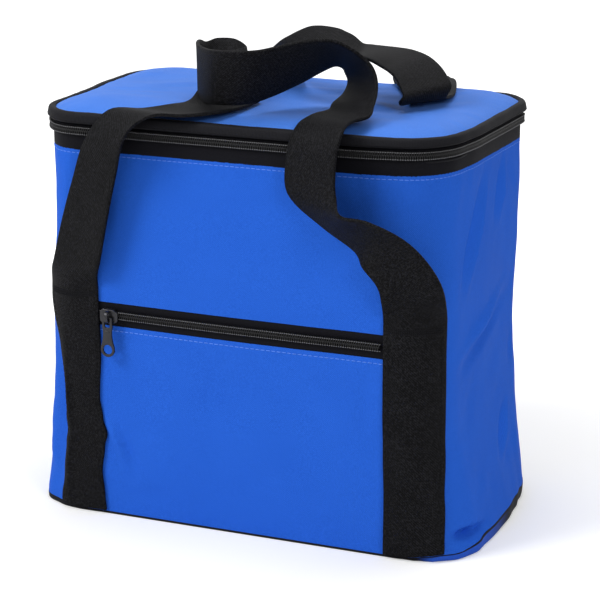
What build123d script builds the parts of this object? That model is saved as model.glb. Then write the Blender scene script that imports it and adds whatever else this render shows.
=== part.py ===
from build123d import *
import math
import os

os.makedirs("parts", exist_ok=True)

# A soft-sided insulated carrier: a fabric tub with foam walls, a padded lid that is zipped on
# three sides and hinged at the rear, a flat zipped pocket in the front, and two webbing handles
# that are sewn to the front and the rear and lie folded over the lid.
# Frame: X to the right, front at -Y, Z up, origin in the middle of the underside. Millimetres.

# Outer fabric shell
body_width = 268.0
body_depth = 162.0
corner_radius = 30.0
fabric = 1.2
seam_height = 231.0

# Insulation and lining
wall_foam = 7.0
base_foam_thickness = 7.0
board_thickness = 2.5
liner = 0.8
rim_above_seam = 9.0
rim_binding_thickness = 1.4
rim_binding_lap = 0.4

# Front pocket
pocket_space = 2.4
pocket_backing_thickness = 0.8
pocket_zip_height = 129.6
pocket_zip_width = 14.8

# Zips: chain of two coils between two woven tapes
tape = 0.8
coil_width = 6.0
lid_coil_proud = 2.8
pocket_coil_proud = 2.4
coil_part = 0.3
lid_zip_above_rim = 2.5
lid_zip_end_to_rear = 17.0
stop_length = 3.0

# Lid
binding_proud = 4.0
binding_lap = 1.0
binding_height = 7.5
binding_round = 2.4
binding_above_zip = 4.5
lid_above_rim = 3.2
crown_steps = ((0.0, 0.0), (7.0, 2.8), (25.0, 5.0), (48.0, 6.0))
crown_least_radius = 4.0

# Webbing: straps sewn up the front and rear, and the free handles above them
webbing_width = 38.0
webbing = 1.8
front_strap_before_corner = 11.0
rear_strap_before_corner = 23.0
bartack_above_pocket_zip = 15.4
handle_gap = 0.3
bartack_length = 3.0
bartack_proud = 0.6
bartack_margin = 2.0

# Base edge
base_binding_proud = 1.6
base_binding_low = 0.2
base_binding_high = 3.4

# Zip sliders and pulls
slider_length = 12.0
slider_plate = 1.6
slider_gap = 0.3
slider_lip = 1.1
slider_clear = 0.4
arch_width = 2.6
arch_opening = 3.0
arch_bar = 1.2
arch_reach = 3.6
pull_thickness = 1.5
pull_pin_radius = 0.9
pull_head_width = 7.0
pull_window_width = 4.2
pull_window_length = 6.0
pull_neck_width = 5.0
pull_length = 26.0
pull_end_radius = 4.5
pull_hole_radius = 2.6
pull_pin_drop = 1.2
pocket_slider_from_strap = 9.0
lid_slider_from_end = 20.0

# Worked-out values
half_width = body_width / 2
half_depth = body_depth / 2
flat_half = half_width - corner_radius
rim_height = seam_height + rim_above_seam
lid_zip_height = rim_height + lid_zip_above_rim
lid_zip_end_depth = half_depth - lid_zip_end_to_rear
lid_slider_rest = lid_zip_end_depth - lid_slider_from_end
lid_underside = rim_height + lid_above_rim
binding_bottom = lid_zip_height + binding_above_zip
front_strap_inner = flat_half - front_strap_before_corner
rear_strap_inner = flat_half - rear_strap_before_corner
bartack_height = pocket_zip_height + bartack_above_pocket_zip
pocket_slider_rest = pocket_slider_from_strap - front_strap_inner
pocket_layers = pocket_space + pocket_backing_thickness
base_top = fabric + board_thickness + base_foam_thickness
binding_top = binding_bottom + binding_height
lid_crown = binding_top + crown_steps[-1][1]
far = body_width + seam_height


def block(x, y, z):
    # A box from the low and high value along each axis
    size = Box(x[1] - x[0], y[1] - y[0], z[1] - z[0])
    return Pos((x[0] + x[1]) / 2, (y[0] + y[1]) / 2, (z[0] + z[1]) / 2) * size


def plan(grow):
    # The outline of the fabric shell, grown outwards by a distance
    radius = max(corner_radius + grow, crown_least_radius)
    return RectangleRounded(body_width + 2 * grow, body_depth + 2 * grow, radius)


def slab(grow, low, high):
    return Pos(0, 0, low) * extrude(plan(grow), high - low)


def band(outer, inner, low, high):
    # A closed ring round the shell, between two growths of its outline
    return slab(outer, low, high) - slab(inner, low, high)


def core(inset, low, high):
    # The insulated core, set back at the front by the layers of the pocket
    width = body_width - 2 * (fabric + inset)
    depth = body_depth - 2 * (fabric + inset) - pocket_layers
    outline = RectangleRounded(width, depth, corner_radius - fabric - inset)
    return Pos(0, pocket_layers / 2, low) * extrude(outline, high - low)


def strap_place(distance):
    # The point and bearing of the outline at a distance along it from the middle of the front
    if distance <= flat_half:
        return distance, -half_depth, 0.0
    turn = (distance - flat_half) / corner_radius
    x = flat_half + corner_radius * math.sin(turn)
    y = -(half_depth - corner_radius) - corner_radius * math.cos(turn)
    return x, y, turn


# By face: -1 is the front and 1 is the rear
strap_inner = {-1: front_strap_inner, 1: rear_strap_inner}
strap_middle = {face: strap_place(inner + webbing_width / 2) for face, inner in strap_inner.items()}
strap_end = {face: strap_place(inner + webbing_width) for face, inner in strap_inner.items()}
seam_x = strap_middle[-1][0]


# Fabric shell -------------------------------------------------------------------------------
skin = band(0, -fabric, fabric, seam_height)
front_zone = block((-seam_x, seam_x), (-far, 0), (-far, far))
rear_zone = block((-seam_x, seam_x), (0, far), (-far, far))
left_zone = block((-far, 0), (-far, far), (-far, far)) - front_zone - rear_zone
right_zone = block((0, far), (-far, far), (-far, far)) - front_zone - rear_zone

pocket_zip_low = pocket_zip_height - pocket_zip_width / 2
pocket_zip_high = pocket_zip_height + pocket_zip_width / 2
front_skin = skin & front_zone
front_pocket_panel = front_skin & block((-far, far), (-far, 0), (0, pocket_zip_low))
front_upper_panel = front_skin & block((-far, far), (-far, 0), (pocket_zip_high, seam_height))
left_side_panel = skin & left_zone
right_side_panel = skin & right_zone
rear_panel = skin & rear_zone
base_panel = slab(0, 0, fabric)
base_binding = band(base_binding_proud, 0, base_binding_low, base_binding_high)

# Pocket backing: a flat lining sheet that closes the pocket towards the foam
backing_front = -half_depth + fabric + pocket_space
pocket_backing = block(
    (-flat_half, flat_half),
    (backing_front, backing_front + pocket_backing_thickness),
    (fabric, rim_height),
)

# Insulation ---------------------------------------------------------------------------------
foam_ring = core(0, fabric, rim_height) - core(wall_foam, fabric, rim_height)
front_foam = foam_ring & block((-flat_half, flat_half), (-far, 0), (0, rim_height))
rear_foam = foam_ring & block((-flat_half, flat_half), (0, far), (0, rim_height))
left_foam = foam_ring & block((-far, -flat_half), (-far, far), (0, rim_height))
right_foam = foam_ring & block((flat_half, far), (-far, far), (0, rim_height))
base_board = core(wall_foam, fabric, fabric + board_thickness)
base_foam = core(wall_foam, fabric + board_thickness, base_top)
liner_tub = core(wall_foam, base_top, rim_height)
liner_tub -= core(wall_foam + liner, base_top + liner, rim_height)
mouth_binding = core(0, rim_height, rim_height + rim_binding_thickness)
mouth_binding -= core(wall_foam + liner + rim_binding_lap, 0, far)

# Lid zip, bag half --------------------------------------------------------------------------
zip_zone = block((-far, far), (-far, lid_zip_end_depth), (-far, far))
hinge_zone = block((-far, far), (lid_zip_end_depth, far), (-far, far))
chain_low = lid_zip_height - coil_width / 2
chain_high = lid_zip_height + coil_width / 2
lower_part = lid_zip_height - coil_part / 2
upper_part = lid_zip_height + coil_part / 2
lid_zip_lower_tape = band(0, -tape, seam_height, lower_part) & zip_zone
lid_zip_lower_coil = band(lid_coil_proud, 0, chain_low, lower_part) & zip_zone
lid_hinge_strip = band(0, -tape, seam_height, binding_bottom - coil_part) & hinge_zone
stop_zone = block((-far, far), (lid_zip_end_depth, lid_zip_end_depth + stop_length), (-far, far))
lid_zip_stops = band(lid_coil_proud, 0, chain_low, lower_part) & stop_zone

# Lid ----------------------------------------------------------------------------------------


def crown(height):
    # The raised top of the lid: ever smaller outlines, each a little higher
    outlines = []
    for inset, rise in crown_steps:
        outlines.append(Pos(0, 0, height + rise) * plan(-binding_lap - inset))
    return loft(outlines, ruled=True)


panel_underside = binding_top - fabric
foam_underside = lid_underside + liner
lid_top_panel = slab(-binding_lap, panel_underside, binding_top) + crown(binding_top)
lid_top_panel -= crown(panel_underside)
lid_foam = slab(-binding_lap, foam_underside, panel_underside) + crown(panel_underside)
lid_foam -= band(far / 4, -fabric, foam_underside, binding_bottom)
lid_liner = slab(-fabric, lid_underside, foam_underside)
lid_binding = band(binding_proud, -binding_lap, binding_bottom, binding_top)
outer_edges = []
for edge in lid_binding.edges():
    if abs(edge.center().Z - binding_top) > 0.1 and abs(edge.center().Z - binding_bottom) > 0.1:
        continue
    middle = edge.position_at(0.5)
    if abs(middle.X) > half_width + 1 or abs(middle.Y) > half_depth + 1:
        outer_edges.append(edge)
        continue
    corner = Vector(abs(middle.X) - flat_half, abs(middle.Y) - (half_depth - corner_radius), 0)
    if corner.X > 0 and corner.Y > 0 and corner.length > corner_radius + 1:
        outer_edges.append(edge)
lid_binding = fillet(outer_edges, binding_round)
lid_zip_upper_tape = band(0, -tape, upper_part, binding_bottom) & zip_zone
lid_zip_upper_coil = band(lid_coil_proud, 0, upper_part, chain_high) & zip_zone

# Pocket zip ---------------------------------------------------------------------------------
pocket_face = (-half_depth, -half_depth + tape)
pocket_coil = (-half_depth - pocket_coil_proud, -half_depth)
tape_run = (-flat_half, flat_half)
coil_run = (-front_strap_inner, front_strap_inner)
pocket_zip_lower_tape = block(tape_run, pocket_face, (pocket_zip_low, pocket_zip_height))
pocket_zip_upper_tape = block(tape_run, pocket_face, (pocket_zip_height, pocket_zip_high))
pocket_chain_low = pocket_zip_height - coil_width / 2
pocket_chain_high = pocket_zip_height + coil_width / 2
pocket_zip_lower_coil = block(coil_run, pocket_coil, (pocket_chain_low, pocket_zip_height))
pocket_zip_upper_coil = block(coil_run, pocket_coil, (pocket_zip_height, pocket_chain_high))

# Straps: webbing sewn up the shell, half of it round the start of each corner -----------------

def strap(side, face):
    # side is -1 for the left and 1 for the right, face is -1 for the front and 1 for the rear
    whole = band(webbing, 0, base_binding_high, bartack_height)
    inner = block((strap_inner[face], flat_half), (-far, 0), (0, far))
    turn = math.degrees(strap_end[face][2])
    wedge = Pos(flat_half, -(half_depth - corner_radius), 0) * Rot(0, 0, -90)
    wedge *= extrude(make_face(Polyline(
        (0, 0),
        (far, 0),
        (far, far * math.tan(math.radians(turn) / 2)),
        (far * math.cos(math.radians(turn)), far * math.sin(math.radians(turn))),
        close=True,
    )), far)
    piece = whole & (inner + wedge)
    if side < 0:
        piece = mirror(piece, about=Plane.YZ)
    if face > 0:
        piece = mirror(piece, about=Plane.XZ)
    return piece


front_strap_left = strap(-1, -1)
front_strap_right = strap(1, -1)
rear_strap_left = strap(-1, 1)
rear_strap_right = strap(1, 1)


def bartack(side, face):
    # A bar of close stitches across the strap, just under the end of the free handle
    stitch = Box(webbing_width - 2 * bartack_margin, bartack_proud + webbing / 2, bartack_length)
    out = webbing + (bartack_proud - webbing / 2) / 2
    x, y, turn = strap_middle[face]
    place = Pos(
        side * (x + out * math.sin(turn)),
        face * (-y + out * math.cos(turn)),
        bartack_height - bartack_margin - bartack_length / 2,
    )
    return place * Rot(0, 0, -side * face * math.degrees(turn)) * stitch


sewn_straps = front_strap_left + front_strap_right + rear_strap_left + rear_strap_right
bartack_bars = [bartack(side, face) - sewn_straps - skin for side in (-1, 1) for face in (-1, 1)]
strap_bartacks = Compound(children=[bar.solids().sort_by(SortBy.VOLUME)[-1] for bar in bartack_bars])

# Handles ------------------------------------------------------------------------------------
# Each row is a place of the webbing's middle and the direction of its width.
# Legs: sideways from the sewn strap, outwards from the face, up from the strap's end.
# Over the lid: X, then inwards from the face, then up from the crown of the lid.
front_left_leg = (
    (0.0, 1.6, 0.0, 0.96, -0.27, 0.0),
    (8.0, 6.0, 20.0, 0.96, -0.27, 0.05),
    (17.0, 8.0, 45.0, 0.96, -0.27, 0.15),
    (26.0, 9.5, 72.0, 0.94, -0.28, 0.25),
)
front_over_lid = (
    (-76.0, -13.0, -17.5, 0.92, -0.36, 0.22),
    (-61.0, -10.0, -2.0, 0.93, -0.35, 0.05),
    (-43.0, -1.0, -1.5, 0.93, -0.36, 0.03),
    (-28.0, 9.0, 0.0, 0.96, -0.27, 0.0),
    (-20.0, 20.0, 1.0, 0.98, -0.15, 0.0),
    (-18.5, 34.0, 3.5, 0.98, 0.0, -0.12),
    (-15.5, 48.0, 12.5, 0.82, -0.15, -0.55),
    (-14.0, 60.0, 16.0, 0.47, -0.62, -0.62),
    (-25.0, 66.5, 18.5, 0.38, -0.65, -0.66),
    (-36.0, 61.0, 18.5, 0.32, -0.63, -0.71),
    (-39.0, 46.5, 16.5, 0.2, -0.5, -0.84),
    (-35.0, 31.0, 18.5, -0.1, 0.25, -0.96),
    (-22.0, 14.0, 19.5, -0.17, 0.34, -0.92),
    (-11.0, 6.0, 20.5, -0.18, 0.36, -0.91),
    (2.0, 6.0, 21.0, -0.16, 0.4, -0.9),
    (12.0, 11.0, 22.0, -0.2, 0.44, -0.87),
    (19.5, 18.0, 24.0, -0.23, 0.48, -0.84),
    (27.5, 24.0, 27.0, -0.24, 0.56, -0.8),
    (35.5, 28.0, 30.0, -0.25, 0.64, -0.73),
    (44.0, 32.0, 33.0, -0.28, 0.73, -0.62),
    (51.0, 37.0, 34.0, -0.34, 0.78, -0.52),
    (56.5, 41.5, 31.0, -0.45, 0.78, -0.44),
    (60.0, 44.5, 26.5, -0.56, 0.72, -0.4),
    (63.5, 45.0, 22.0, -0.65, 0.67, -0.36),
    (65.5, 43.0, 16.5, -0.73, 0.62, -0.29),
    (66.5, 37.0, 11.0, -0.8, 0.57, -0.2),
    (66.5, 27.0, 6.5, -0.87, 0.48, -0.12),
    (67.5, 18.0, 3.0, -0.87, 0.49, -0.06),
    (62.0, 10.0, 1.5, -0.87, 0.5, -0.05),
    (60.5, 0.0, 0.5, -0.88, 0.48, -0.05),
    (60.0, -7.5, -2.0, -0.91, 0.42, -0.03),
    (59.0, -13.0, -8.5, -0.93, 0.37, -0.02),
    (57.0, -14.0, -20.5, -0.94, 0.34, -0.02),
)
front_right_leg = (
    (-54.0, 15.0, 76.0, -0.90, 0.35, -0.10),
    (-41.0, 17.0, 62.0, -0.55, 0.70, -0.35),
    (-22.0, 16.0, 54.0, -0.45, 0.60, -0.60),
    (-6.0, 14.0, 42.0, -0.85, 0.15, -0.40),
    (2.0, 9.0, 24.0, -0.97, -0.10, -0.10),
    (0.0, 1.6, 0.0, -0.96, -0.27, 0.0),
)
rear_right_leg = (
    (0.0, 1.6, 0.0, 0.98, -0.12, 0.0),
    (-8.0, 6.0, 40.0, 0.98, -0.10, 0.05),
    (-28.0, 10.0, 83.0, 0.97, -0.10, 0.20),
)
rear_over_lid = (
    (57.0, -9.5, -6.0, 0.97, -0.1, 0.2),
    (62.0, 6.0, 1.0, 0.97, 0.15, 0.0),
    (73.0, 28.0, 2.5, 0.82, 0.55, 0.0),
    (84.0, 52.0, 2.5, 0.64, 0.77, 0.0),
    (93.0, 77.0, 2.0, 0.5, 0.86, 0.0),
    (98.0, 97.0, 4.5, 0.46, 0.89, 0.0),
    (98.0, 95.5, 10.0, 0.47, 0.88, 0.04),
    (94.0, 91.0, 14.5, 0.45, 0.89, 0.06),
    (88.5, 86.0, 19.0, 0.38, 0.92, 0.09),
    (81.0, 82.0, 23.0, 0.3, 0.95, 0.11),
    (72.0, 79.0, 25.5, 0.19, 0.98, 0.1),
    (64.5, 78.0, 27.0, 0.09, 0.99, 0.05),
    (57.0, 78.5, 28.0, 0.0, 1.0, 0.02),
    (51.0, 79.5, 28.0, -0.08, 0.99, 0.05),
    (46.0, 79.0, 26.0, -0.16, 0.96, 0.2),
    (42.5, 78.0, 27.5, -0.3, 0.88, 0.35),
    (39.5, 78.0, 29.0, -0.38, 0.83, 0.38),
    (35.5, 78.0, 31.0, -0.43, 0.82, 0.37),
    (29.0, 78.0, 32.0, -0.48, 0.8, 0.37),
    (24.0, 77.5, 32.0, -0.51, 0.77, 0.37),
    (19.0, 77.0, 31.0, -0.55, 0.74, 0.38),
    (13.0, 76.0, 28.0, -0.61, 0.69, 0.38),
    (7.5, 75.0, 24.0, -0.66, 0.62, 0.41),
    (2.0, 71.0, 21.0, -0.7, 0.57, 0.4),
    (-6.0, 57.0, 12.0, -0.78, 0.43, 0.45),
    (-20.0, 37.0, 7.0, -0.9, 0.33, 0.25),
    (-37.0, 15.0, 1.5, -0.98, 0.15, 0.05),
    (-50.0, -5.0, -2.5, -1.0, 0.0, 0.0),
    (-62.0, -11.0, -15.5, -0.97, -0.1, 0.2),
)
rear_left_leg = (
    (20.0, 10.0, 70.0, -0.98, -0.10, 0.15),
    (6.0, 6.0, 35.0, -0.98, -0.10, 0.05),
    (0.0, 1.6, 0.0, -0.98, -0.12, 0.0),
)


def leg_rows(rows, side, face):
    # Rows of a leg, placed from the end of the sewn strap
    placed = []
    end_x, end_y, _ = strap_middle[face]
    for across, out, up, wx, wy, wz in rows:
        x = side * end_x + across
        y = face * (half_depth + out)
        if up == 0.0:
            y = face * (-end_y + out)
        placed.append((Vector(x, y, bartack_height + handle_gap + up), Vector(wx, wy, wz)))
    return placed


def lid_rows(rows, face):
    # Rows of the part that lies over the lid, placed from the face and the crown
    placed = []
    for x, inwards, up, wx, wy, wz in rows:
        centre = Vector(x, face * (half_depth - inwards), lid_crown + up)
        placed.append((centre, Vector(wx, wy, wz)))
    return placed


def between(values, index, share):
    # A smooth curve through a list of vectors, at a share of the way past one of them
    last = len(values) - 1
    before = values[index - 1] if index > 0 else values[0] * 2 - values[1]
    start = values[index]
    end = values[index + 1]
    after = values[index + 2] if index + 2 <= last else end * 2 - start
    return (
        start * 2
        + (end - before) * share
        + (before * 2 - start * 5 + end * 4 - after) * share**2
        + (start * 3 - before - end * 3 + after) * share**3
    ) * 0.5


def ribbon(rows, steps=2):
    # Flat webbing that bends and twists through the rows
    centres = []
    widths = []
    for index in range(len(rows) - 1):
        for step in range(steps):
            centres.append(between([row[0] for row in rows], index, step / steps))
            widths.append(between([row[1].normalized() for row in rows], index, step / steps))
    centres.append(rows[-1][0])
    widths.append(rows[-1][1].normalized())
    corners = []
    for index, centre in enumerate(centres):
        ahead = centres[min(index + 1, len(centres) - 1)]
        behind = centres[max(index - 1, 0)]
        side = widths[index].normalized() * (webbing_width / 2)
        face = (ahead - behind).cross(side).normalized() * (webbing / 2)
        corners.append((
            centre - side - face,
            centre + side - face,
            centre + side + face,
            centre - side + face,
        ))
    ends = [Face(Wire.make_polygon(corner, close=True)) for corner in (corners[0], corners[-1])]
    walls = []
    for start, end in zip(corners, corners[1:]):
        for index in range(4):
            near = Edge.make_line(start[index], start[(index + 1) % 4])
            away = Edge.make_line(end[index], end[(index + 1) % 4])
            walls.append(Face.make_surface_from_curves(near, away))
    return Solid(Shell(ends + walls))


front_handle = ribbon(
    leg_rows(front_left_leg, -1, -1) + lid_rows(front_over_lid, -1) + leg_rows(front_right_leg, 1, -1)
)
rear_handle = ribbon(
    leg_rows(rear_right_leg, 1, 1) + lid_rows(rear_over_lid, 1) + leg_rows(rear_left_leg, -1, 1)
)

# Zip sliders --------------------------------------------------------------------------------
# Made with the chain along X and the outside towards -Y, from the middle of the chain's face.


def slider(proud, lips):
    # A plate over the chain, lips over its edges, and an arch for the pull
    half = coil_width / 2 + slider_clear
    outside = -slider_gap - slider_plate
    ends = (-slider_length / 2, slider_length / 2)
    body = block(ends, (outside, -slider_gap), (-half - slider_lip, half))
    if len(lips) > 1:
        body = block(ends, (outside, -slider_gap), (-half - slider_lip, half + slider_lip))
    for lip in lips:
        edge = sorted((lip * half, lip * (half + slider_lip)))
        body += block(ends, (-slider_gap, proud - slider_gap), edge)
    body = fillet(body.edges().filter_by(Axis.Y).group_by(Axis.Y)[0], slider_lip)
    arch = block(
        (-arch_width / 2, arch_width / 2),
        (outside - arch_opening - arch_bar, outside),
        (-arch_reach, arch_reach),
    )
    arch -= block(
        (-arch_width, arch_width),
        (outside - arch_opening, outside),
        (-arch_reach + arch_bar, arch_reach - arch_bar),
    )
    return body + arch


def pull():
    # A flat tab that hangs from its pin, with a window round the arch and a hole in its end
    outside = -slider_gap - slider_plate
    centre = (outside - arch_opening / 2, -pull_pin_drop)
    pin = Pos(0, centre[0], centre[1]) * Rot(0, 90, 0) * Cylinder(pull_pin_radius, pull_head_width)
    shoulder = pull_window_length + pull_head_width / 2
    tab = Plane.XZ * make_face(Polyline(
        (-pull_head_width / 2, 0),
        (pull_head_width / 2, 0),
        (pull_head_width / 2, -pull_window_length),
        (pull_neck_width / 2, -shoulder),
        (pull_end_radius, -pull_length + pull_end_radius),
        (-pull_end_radius, -pull_length + pull_end_radius),
        (-pull_neck_width / 2, -shoulder),
        (-pull_head_width / 2, -pull_window_length),
        close=True,
    ))
    tab = extrude(tab, pull_thickness / 2, both=True)
    tip = Pos(0, 0, -pull_length + pull_end_radius) * Rot(90, 0, 0)
    tab += tip * Cylinder(pull_end_radius, pull_thickness)
    tab -= tip * Cylinder(pull_hole_radius, pull_thickness * 2)
    tab -= block(
        (-pull_window_width / 2, pull_window_width / 2),
        (-pull_thickness, pull_thickness),
        (-pull_window_length, far),
    )
    return Pos(0, centre[0], centre[1]) * tab + pin


pocket_place = Pos(pocket_slider_rest, -half_depth - pocket_coil_proud, pocket_zip_height)
pocket_slider = pocket_place * slider(pocket_coil_proud, (-1, 1))
pocket_pull = pocket_place * pull()
lid_place = Pos(-half_width - lid_coil_proud, lid_slider_rest, lid_zip_height) * Rot(0, 0, -90)
lid_slider = lid_place * slider(lid_coil_proud, (-1,))
lid_pull = lid_place * pull()

# Export ---------------------------------------------------------------------------------------
pieces = {
    "base_panel": base_panel,
    "base_binding": base_binding,
    "base_board": base_board,
    "base_foam": base_foam,
    "front_foam": front_foam,
    "rear_foam": rear_foam,
    "left_foam": left_foam,
    "right_foam": right_foam,
    "liner_tub": liner_tub,
    "mouth_binding": mouth_binding,
    "front_upper_panel": front_upper_panel,
    "front_pocket_panel": front_pocket_panel,
    "pocket_backing": pocket_backing,
    "left_side_panel": left_side_panel,
    "right_side_panel": right_side_panel,
    "rear_panel": rear_panel,
    "lid_zip_lower_tape": lid_zip_lower_tape,
    "lid_zip_lower_coil": lid_zip_lower_coil,
    "lid_zip_stops": lid_zip_stops,
    "lid_hinge_strip": lid_hinge_strip,
    "pocket_zip_upper_tape": pocket_zip_upper_tape,
    "pocket_zip_lower_tape": pocket_zip_lower_tape,
    "pocket_zip_upper_coil": pocket_zip_upper_coil,
    "pocket_zip_lower_coil": pocket_zip_lower_coil,
    "front_strap_left": front_strap_left,
    "front_strap_right": front_strap_right,
    "rear_strap_left": rear_strap_left,
    "rear_strap_right": rear_strap_right,
    "strap_bartacks": strap_bartacks,
    "lid_top_panel": lid_top_panel,
    "lid_foam": lid_foam,
    "lid_liner": lid_liner,
    "lid_binding": lid_binding,
    "lid_zip_upper_tape": lid_zip_upper_tape,
    "lid_zip_upper_coil": lid_zip_upper_coil,
    "front_handle": front_handle,
    "rear_handle": rear_handle,
    "pocket_slider": pocket_slider,
    "pocket_pull": pocket_pull,
    "lid_slider": lid_slider,
    "lid_pull": lid_pull,
}
for name, piece in pieces.items():
    export_step(piece, f"parts/{name}.step")
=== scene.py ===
import math

import bmesh
import bpy
from mathutils import Matrix, Vector, noise


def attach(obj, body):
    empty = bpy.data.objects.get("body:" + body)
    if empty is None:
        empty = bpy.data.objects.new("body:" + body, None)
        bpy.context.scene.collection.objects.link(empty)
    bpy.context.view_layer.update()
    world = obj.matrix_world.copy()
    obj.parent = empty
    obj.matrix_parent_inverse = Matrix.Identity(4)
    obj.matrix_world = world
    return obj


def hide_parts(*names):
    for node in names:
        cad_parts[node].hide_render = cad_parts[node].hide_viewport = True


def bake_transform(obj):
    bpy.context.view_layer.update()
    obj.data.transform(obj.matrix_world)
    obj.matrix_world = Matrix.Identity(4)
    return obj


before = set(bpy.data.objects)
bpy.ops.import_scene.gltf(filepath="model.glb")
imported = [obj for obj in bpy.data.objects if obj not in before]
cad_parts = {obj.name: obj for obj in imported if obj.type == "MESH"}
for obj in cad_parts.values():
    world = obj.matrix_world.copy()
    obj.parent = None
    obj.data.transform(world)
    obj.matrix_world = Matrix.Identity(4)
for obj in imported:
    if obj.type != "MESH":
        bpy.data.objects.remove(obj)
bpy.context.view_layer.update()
scene = bpy.context.scene
mm = 0.001

# Shapes are set out in millimetres and made metres where a piece is wrapped or placed.
# Flat sizes and the studio are in metres.
# Most pieces are first made flat: X runs round the bag from the middle of its front,
# -Y points out of the fabric and Z goes up. They are then wrapped round the soft shell.


def smooth(value, low, high):
    share = min(max((value - low) / (high - low), 0.0), 1.0)
    return share * share * (3 - 2 * share)


def hump(value, middle, reach):
    share = abs(value - middle) / reach
    return (1 - share * share) ** 2 if share < 1 else 0.0


def along(stations, value):
    # Eased between stations of (place, amount)
    if value <= stations[0][0]:
        return stations[0][1]
    for (start, low), (end, high) in zip(stations, stations[1:]):
        if value <= end:
            return low + (high - low) * smooth(value, start, end)
    return stations[-1][1]


# Camera

view = {"place": (548.8, -1263.5, 512.4), "yaw": 23.1, "pitch": 15.6, "lens": 136.0}


def addCamera():
    data = bpy.data.cameras.new("camera")
    data.lens = view["lens"]
    data.sensor_width = 36.0
    data.clip_start = 0.05
    camera = bpy.data.objects.new("camera", data)
    camera.location = Vector(view["place"]) * mm
    camera.rotation_euler = (math.radians(90 - view["pitch"]), 0, math.radians(view["yaw"]))
    scene.collection.objects.link(camera)
    scene.camera = camera


addCamera()
print("camera placed")

# Materials


class Wire:
    # A socket that can stand in a sum
    def __init__(self, paint, socket):
        self.paint = paint
        self.socket = socket

    def act(self, operation, first, second):
        return self.paint.node("Math", {"operation": operation}, {0: first, 1: second})

    def __add__(self, other):
        return self.act("ADD", self, other)

    def __radd__(self, other):
        return self.act("ADD", other, self)

    def __sub__(self, other):
        return self.act("SUBTRACT", self, other)

    def __rsub__(self, other):
        return self.act("SUBTRACT", other, self)

    def __mul__(self, other):
        return self.act("MULTIPLY", self, other)

    def __rmul__(self, other):
        return self.act("MULTIPLY", other, self)

    def wave(self):
        return self.act("SINE", self, 0.0)

    def orElse(self, other):
        return self.act("MAXIMUM", self, other)


class Paint:
    # The nodes of one material, or of the world
    def __init__(self, owner):
        self.owner = owner
        self.owner.use_nodes = True
        self.tree = self.owner.node_tree
        self.tree.nodes.clear()

    def node(self, kind, settings, values, output=0):
        made = self.tree.nodes.new("ShaderNode" + kind)
        for key, value in settings.items():
            if key == "stops":
                while len(made.color_ramp.elements) < len(value):
                    made.color_ramp.elements.new(0.5)
                for element, (place, colour) in zip(made.color_ramp.elements, value):
                    element.position = place
                    element.color = (*colour, 1.0)
            else:
                setattr(made, key, value)
        for key, value in values.items():
            if isinstance(value, Wire):
                self.tree.links.new(value.socket, made.inputs[key])
            else:
                made.inputs[key].default_value = value
        return Wire(self, made.outputs[output])

    def flat(self):
        # Across and along the cloth, in millimetres
        uv = self.node("UVMap", {"uv_map": "flat"}, {})
        across = self.node("SeparateXYZ", {}, {0: uv}, 0)
        up = self.node("SeparateXYZ", {}, {0: uv}, 1)
        return across * 1000.0, up * 1000.0

    def place(self):
        return self.node("TexCoord", {}, {}, "Object")

    def speckle(self, scale, detail=2.0, where=None, stretch=(1.0, 1.0, 1.0)):
        # Noise from 0 to 1, with a scale in spots per metre
        spot = self.node("Mapping", {}, {"Vector": where or self.place(), "Scale": stretch})
        return self.node("TexNoise", {}, {"Vector": spot, "Scale": scale, "Detail": detail})

    def blend(self, share, low, high):
        names = {"data_type": "RGBA"}
        return self.node("Mix", names, {0: share, 6: (*low, 1.0), 7: (*high, 1.0)}, 2)

    def ripple(self, strength, depth, height):
        # Relief of a depth in millimetres
        values = {"Strength": strength, "Distance": depth * mm, "Height": height}
        return self.node("Bump", {}, values)

    def fade(self, value, start, end, low=0.0, high=1.0):
        # Eased from low to high between two values
        values = {"Value": value, "From Min": start, "From Max": end, "To Min": low, "To Max": high}
        return self.node("MapRange", {"interpolation_type": "SMOOTHSTEP"}, values)

    def finish(self, shader, kind="Material"):
        made = self.tree.nodes.new("ShaderNodeOutput" + kind)
        self.tree.links.new(shader.socket, made.inputs["Surface"])
        return self.owner


def newPaint(name):
    return Paint(bpy.data.materials.new(name))


def turns(length):
    # Radians per millimetre of a wave of that length
    return math.pi * 2 / length


blueCloth = {
    "name": "blueCloth",
    "low": (0.011, 0.084, 0.500),
    "high": (0.026, 0.142, 0.710),
    "thread": 0.62,
    "rough": 0.66,
    "sheen": 0.0,
    "level": 0.05,
    "height": 0.16,
}
# The lid's cloth is a lighter, greener copy of the body's blue: painted light, standing in for the
# light from above and the pale reflection the lid catches
lidPaintedLightCloth = {
    "name": "lidPaintedLightCloth",
    "low": (0.034, 0.140, 0.560),
    "high": (0.068, 0.224, 0.750),
    "thread": 0.62,
    "rough": 0.62,
    "sheen": 0.08,
    "level": 0.20,
    "height": 0.16,
}


def weave(settings):
    # Plain woven cloth: threads over and under, with uneven yarn
    paint = newPaint(settings["name"])
    across, up = paint.flat()
    turn = turns(2 * settings["thread"])
    yarn = paint.speckle(900.0, 2.0, stretch=(1.0, 1.0, 0.25))
    drift = (yarn - 0.5) * 1.6
    checks = (across * turn + drift).wave() * (up * turn + drift).wave()
    threads = (checks + 1.0) * 0.5
    patch = paint.speckle(26.0, 3.0)
    fleck = paint.speckle(1500.0, 1.0)
    share = threads * 0.40 + (fleck - 0.5) * 1.0 + patch * 0.30 + 0.15
    colour = paint.blend(share, settings["low"], settings["high"])
    relief = threads * 0.6 + fleck * 0.9
    shader = paint.node("BsdfPrincipled", {}, {
        "Base Color": colour,
        "Roughness": (fleck - 0.5) * 0.12 + settings["rough"],
        "Sheen Weight": settings["sheen"],
        "Sheen Roughness": 0.45,
        "Sheen Tint": (0.75, 0.85, 1.0, 1.0),
        "Specular IOR Level": settings["level"],
        "Normal": paint.ripple(0.75, settings["height"], relief),
    })
    return paint.finish(shader)


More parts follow.
